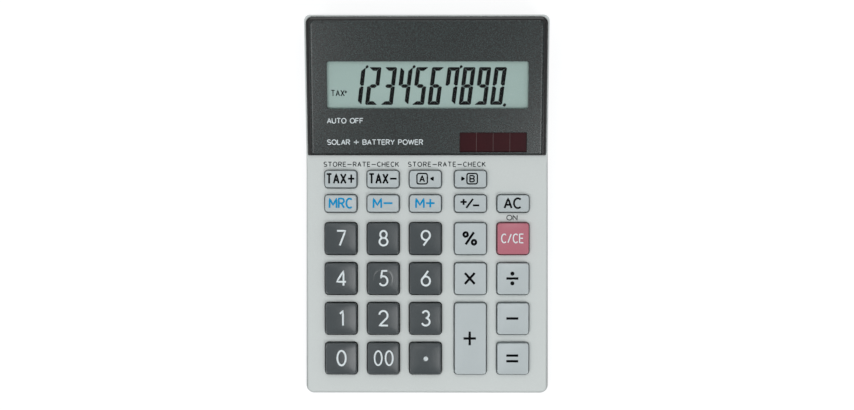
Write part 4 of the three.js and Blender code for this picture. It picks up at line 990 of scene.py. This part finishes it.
darkKeys = {"0", "00", "point", *"123456789"}
blueKeys = {"memory_recall", "memory_minus", "memory_plus"}
rightKeys = {"rate_a", "rate_b", "sign", "clear_all", "percent", "clear", "multiply", "divide", "plus", "minus",
             "equals"}
legendShifts = {"dark": (0.2, 0.25), "left": (0.0, 0.15), "right": (-0.3, 0.15)}  # from the key's middle
digitLook = (6.5, 0.82, 0.92)  # height, stroke and width of a digit
legends = {  # words, height and stroke, and where they aren't plain, width and gap
    "00": ("00", 6.3, 0.72, 0.82, 0.26), "point": (".", 5.9, 1.05), "plus": ("+", 6.8, 1.05),
    "minus": ("-", 6.3, 1.05), "multiply": ("*", 6.4, 1.05), "divide": (":", 6.3, 1.05), "equals": ("=", 6.3, 1.05),
    "percent": ("%", 5.4, 1.05), "clear": ("C/CE", 3.8, 0.54, 0.88), "clear_all": ("AC", 4.3, 0.84, 1.2),
    "sign": ("~", 5.0, 0.82, 1.15), "tax_plus": ("TAX+", 4.1, 0.8, 0.87), "tax_minus": ("TAX-", 4.1, 0.8, 0.84),
    "memory_recall": ("MRC", 4.1, 0.8, 1.03), "memory_minus": ("M-", 4.1, 0.8, 1.15),
    "memory_plus": ("M+", 4.1, 0.8, 1.15),
}
rate = {"height": 2.75, "width": 1.2, "frame": 4.6, "radius": 0.9, "arrow": 3.3, "stroke": 0.6,
        "rate_a": (-1.1, 3.2), "rate_b": (1.0, -3.0)}  # where the framed letter and its arrow stand


def keyLegend(key):
    if key not in rate:
        words, height, stroke, *shape = legends.get(key, (key, *digitLook))
        return lineOfText(words, height, **dict(zip(["width", "gap"], shape))), stroke
    x, arrowX = rate[key]
    border = roundedLoop(boxAt(x, 0, rate["frame"] / 2, rate["frame"] / 2), rate["radius"], steps=4)
    strokes = lineOfText(key[-1].upper(), rate["height"], x, width=rate["width"]) + [border + border[:1]]
    return strokes + lineOfText("<" if arrowX > x else ">", rate["arrow"], arrowX), rate["stroke"]


def makeKey(node):
    key, box, hole = node.removeprefix("key_"), keyBoxes[node], keyHoles[node]
    inset = keySizes["play"] + keySizes["draft"] + keySizes["edge"]
    halfX, halfY = (hole[1] - hole[0]) / 2 - inset, (hole[3] - hole[2]) / 2 - inset
    finger = keySizes["fingerDepth"] if key == "5" else 0.0
    look = "key_dark" if key in darkKeys else "key_clear" if key == "clear" else "key_light"
    draft = skinObject(capSkin(box, hole, finger), "cap_" + key)
    addTree(draft, dishTree, {
        "Half width": halfX, "Half length": halfY, "Crown": box[5], "Dish depth": keySizes["dish"],
        "Finger radius": keySizes["fingerRadius"], "Finger depth": finger, "Material": finishes[look],
    })
    x, y = middle(hole)
    place = keyboardPlane @ Matrix.Translation((x, y + keySizes["lift"], 0))
    cap = settled(draft, place)
    weighNormals(cap)
    handOver(cap, look, node, body=node)
    strokes, width = keyLegend(key)
    color = "blue_ink" if key in blueKeys else "black_ink" if look == "key_light" else "white_ink"
    shiftX, shiftY = legendShifts["dark" if look == "key_dark" else "right" if key in rightKeys else "left"]

    def onTopOfKey(co):
        px, py = co.x + shiftX, co.y + shiftY
        return Vector((px, py, keyTopHeight(px, py, halfX, halfY, box[5], finger) + co.z))

    inkPiece("legend_" + key, strokes, width, color, place, node, onTopOfKey)


for node in keyBoxes:
    makeKey(node)
print("keys:", len(keyBoxes), "caps with their legends")

# Words on the deck and on the face plate: function words only
deckWords = {
    "text": "STORE_RATE_CHECK", "height": 1.95, "width": 1.2, "stroke": 0.38, "overRow": 2.45, "outward": 0.1,
    "lengths": {"key_tax_plus": 33.0, "key_rate_a": 34.0},  # from the left edges of these keys
    "on": (2.15, 1.45, -0.4, 1.9),  # height, width, and place from the clear key
}
faceWords = {"AUTO OFF": 15.6, "SOLAR + BATTERY POWER": 6.1}  # and how far up the display's plane
faceLook = {"height": 2.1, "x": -43.7, "align": 0, "width": 1.28}
faceStroke = 0.36


def writeWords(name, strokes, strokeWidth, finish, plane, top=0.0):
    inkPiece(name, strokes, strokeWidth, finish, plane @ Matrix.Translation((0, 0, top + ink["height"] / 4)))


def deckStrokes():
    words, wordHeight, wordWidth = [deckWords[part] for part in ("text", "height", "width")]
    y = round(max(box[3] for box in keyHoles.values()), 1) + deckWords["overRow"]
    strokes = []
    for node, length in deckWords["lengths"].items():
        gap = (length / wordHeight - sum(map(glyphWidth, words)) * wordWidth) / (len(words) - 1)
        strokes += lineOfText(words, wordHeight, keyHoles[node][0] - deckWords["outward"], y, 0, gap, wordWidth)
    height, width, besideX, overY = deckWords["on"]
    hole = keyHoles["key_clear"]
    return strokes + lineOfText("ON", height, middle(hole)[0] + besideX, hole[3] + overY, width=width)


writeWords("deck_words", deckStrokes(), deckWords["stroke"], "gray_ink", keyboardPlane)
faceStrokes = [stroke for words, y in faceWords.items() for stroke in lineOfText(words, y=y, **faceLook)]
writeWords("face_words", faceStrokes, faceStroke, "white_ink", displayPlane, plateBox[5])

# Screws, feet and the cover's grip: one shape each, copied on points
fixings = {
    "case_screw": (1.0, 2.1, 1.3, 1.0),  # radius, head's radius and height, and size of its cross
    "small_screw": (0.7, 1.4, 0.8, 0.667),
    "headEdge": 0.45, "tip": 0.3, "cross": (1.45, 0.3, 0.7), "crossTaper": 0.8,
    "footRadius": 4.5, "footHeight": 1.6, "footEdge": 0.5, "footDimple": (0.78, 1.3, 0.35),  # its radii and depth
}


def addScrews(name, kind, nodes, places, spin, plane=level):
    low, high = planeBox(nodes[0], plane)[4:]
    radius, headRadius, headHeight, scale = fixings[kind]
    span, half, depth = [size * scale for size in fixings["cross"]]
    cross = []
    for c, s in [(1, 0), (0, 1), (-1, 0), (0, -1)]:
        cross += [(x * c - y * s, x * s + y * c) for x, y in [(span, half), (half, half), (half, span)]]
    skin = newSkin()
    edge = lowEdge(lambda inset: headRadius - inset, 0, headHeight * fixings["headEdge"], steps=5)
    made = lathe(skin, [*edge, (headRadius, headHeight), (radius, headHeight), (radius, high - low - radius),
                        (radius * fixings["tip"], high - low)], sides=40)
    slot = stack(skin, (cross, 0), (scaled(cross, fixings["crossTaper"]), min(depth, headHeight / 2)), closed=True)
    addSheet(skin, made[0], [slot[0]])
    copiesPiece(skin, name, [(x, y, low) for x, y in places], "screw_steel", "screw_steel", *nodes, spin=spin,
                place=plane)


addScrews("case_screws", "case_screw", [f"case_screw_{i}" for i in range(1, 5)], bossPlaces,
          spin=2 * math.pi)
addScrews("cover_screw_fine", "small_screw", ["cover_screw"], [middle(planeBox("cover_screw", level))],
          spin=2.0)
addScrews("board_screws", "small_screw", ["pcb_screw_1", "pcb_screw_2"], pillarPlaces, spin=3.0,
          plane=keyboardPlane)


def makeFoot():
    skin = newSkin()
    narrow, wide, deep = fixings["footDimple"]
    radius = fixings["footRadius"]
    edge = lowEdge(lambda inset: radius - inset, 0, fixings["footEdge"], steps=5)
    made = lathe(skin, [(narrow, deep), (wide, 0.0), *edge, (radius, fixings["footHeight"])], sides=48)
    addSheet(skin, made[0])
    return skin


copiesPiece(makeFoot(), "rubber_feet", [(x, y, 0) for x, y in footPlaces], "foot_rubber", "foot_rubber",
            *[f"foot_{i}" for i in range(1, 5)], spin=1.0)
gripX, gripY, gripHeight, gripSink = cover["grip"]
grip = makeSlab(boxAt(0, 0, gripX, gripY) + [-gripHeight, gripSink], *cover["gripEdge"])
gripPoints = [(batteryX, coverBox[2] + cover["gripFromFront"] + i * cover["gripPitch"], cover["bottom"])
              for i in range(cover["gripCount"])]
copiesPiece(grip, "cover_grip", gripPoints, "tub_plastic", "rear_shell")
print("screws, feet and grip")

# Rubber mat: a flat sheet, and under each key a dome of its own
mat = {"thickness": 0.8, "corner": 1.0, "hole": 1.8, "domeRadius": 3.2, "domeTop": 2.0, "domeEdge": (0.3, 0.1),
       "wall": 0.5, "keep": 0.34, "sides": 24}


def makeMat():
    skin = newSkin()
    matBox = planeBox("keypad_mat", keyboardPlane)
    low, top = matBox[4:]
    high, radius, crown, wall = low + mat["thickness"], mat["domeRadius"], mat["domeTop"], mat["wall"]
    edgeOut, edgeDown = mat["domeEdge"]
    loops = [roundedLoop(matBox, mat["corner"], steps=4),
             *[circle(x, y, mat["hole"], shell["pillarSides"]) for x, y in pillarPlaces],
             *[circle(*middle(hole), radius - wall, mat["sides"]) for hole in keyHoles.values()]]
    lows, highs = zip(*[stack(skin, (loop, low), (loop, high)) for loop in loops])
    addSheet(skin, lows[0], lows[1:])
    addSheet(skin, highs[0], highs[1:])
    shellPiece(skin, "mat_sheet", "mat_rubber", "mat_rubber", "keypad_mat", place=keyboardPlane)
    for node, hole in keyHoles.items():
        x, y = middle(hole)
        dome = newSkin()
        outer = lathe(dome, [(radius, high), (crown + edgeOut, top - edgeDown), (crown, top), (crown / 3, top)],
                      mat["sides"], x, y)
        inner = lathe(dome, [(radius - wall, high), (crown - wall, top - wall), (crown / 4, top - wall)],
                      mat["sides"], x, y)
        bridge(dome, outer[0], inner[0])
        name = node.replace("key_", "dome_")
        piece = settled(skinObject(dome, name), keyboardPlane)
        handOver(piece, "mat_rubber", finish="mat_rubber")
        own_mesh(piece)


makeMat()

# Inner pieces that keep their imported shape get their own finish
innerFinishes = {
    "lcd_glass": "display_glass", "lcd_holder": "holder_plastic", "lcd_ribbon": "ribbon_film",
    "solar_lead_red": "wire_red", "solar_lead_black": "wire_black", "main_pcb": "board_green",
    "chip_blob": "black_resin", "capacitor": "capacitor_sleeve", "battery": "battery_steel",
    "contact_plus": "battery_steel", "contact_minus": "battery_steel",
}
for node, look in innerFinishes.items():
    inside = frame["nodes"][node]
    inside.data.materials.clear()
    inside.data.materials.append(finishes[look])
print("rubber mat and inner pieces")

# Studio: camera straight over the object, pale floor, soft light from all round
studio = {
    "eye": (4.0, 0.4, 670.0), "aimHeight": 12.0,
    "focalPixels": 1483, "imageWidth": 854, "sensor": 36.0, "clipStart": 10.0,
    "floor": 4000.0, "floorColor": (120, 122, 124),
    "floorGlow": 0.84,  # for camera and mirror rays, so that the paper is white
    "worldStrength": 0.44,
    "lamps": {          # place, width, height and power
        "left": ((-487, -298, 1200), 500, 500, 4.5),
        "right": ((405, -590, 1200), 400, 500, 5.2),
        "rear": ((0, 560, 1240), 1000, 300, 3.1),
    },
}
camera = addObject("camera", bpy.data.cameras.new("camera"))
camera.location = Vector(studio["eye"]) * mm
camera.rotation_euler.y = math.atan2(studio["eye"][0], studio["eye"][2] - studio["aimHeight"])
camera.data.sensor_width = studio["sensor"]
camera.data.lens = studio["sensor"] * studio["focalPixels"] / studio["imageWidth"]
camera.data.clip_start = studio["clipStart"] * mm
bpy.context.scene.camera = camera


def whiteRays(tree):  # 1 for what the camera sees, straight, mirrored or through glass
    rays, calc = wire(tree, "ShaderNodeLightPath").outputs, calculator(tree)
    mirrored = calc("MAXIMUM", rays["Is Glossy Ray"], rays["Is Transmission Ray"])
    return calc("MAXIMUM", rays["Is Camera Ray"], mirrored)


def makeFloor():
    half = studio["floor"] / 2 * mm
    mesh = bpy.data.meshes.new("floor")
    mesh.from_pydata([(x * half, y * half, 0) for x, y in corners], [], [(0, 1, 2, 3)])
    material = addFinish("floor_paper", studio["floorColor"], drift=0.004, patch=120.0, fleckLift=0.01, rough=0.9)
    tree = material.node_tree
    shader = tree.nodes["Principled BSDF"]
    shader.inputs["Emission Color"].default_value = (1, 1, 1, 1)
    strength = calculator(tree)("MULTIPLY", whiteRays(tree), studio["floorGlow"])
    tree.links.new(strength, shader.inputs["Emission Strength"])
    mesh.materials.append(material)
    addObject("floor", mesh)


def makeLight():
    world = bpy.data.worlds.new("studio")
    bpy.context.scene.world = world
    world.use_nodes = True
    tree = world.node_tree
    background = tree.nodes["Background"]
    background.inputs["Color"].default_value = shade((255, 255, 255))
    strength = wire(tree, "ShaderNodeMapRange", {
        "Value": whiteRays(tree), "To Min": studio["worldStrength"], "To Max": 1.0,
    }).outputs[0]
    tree.links.new(strength, background.inputs["Strength"])
    for name, (place, width, height, power) in studio["lamps"].items():
        lamp = bpy.data.lights.new(name, "AREA")
        lamp.shape = "RECTANGLE"
        lamp.size, lamp.size_y = width * mm, height * mm
        lamp.energy = power
        holder = addObject("lamp_" + name, lamp)
        holder.location = Vector(place) * mm
        holder.rotation_euler = (-holder.location).to_track_quat("-Z", "Y").to_euler()


makeFloor()
makeLight()
bpy.context.scene.view_settings.view_transform = "Standard"
print("studio ready")
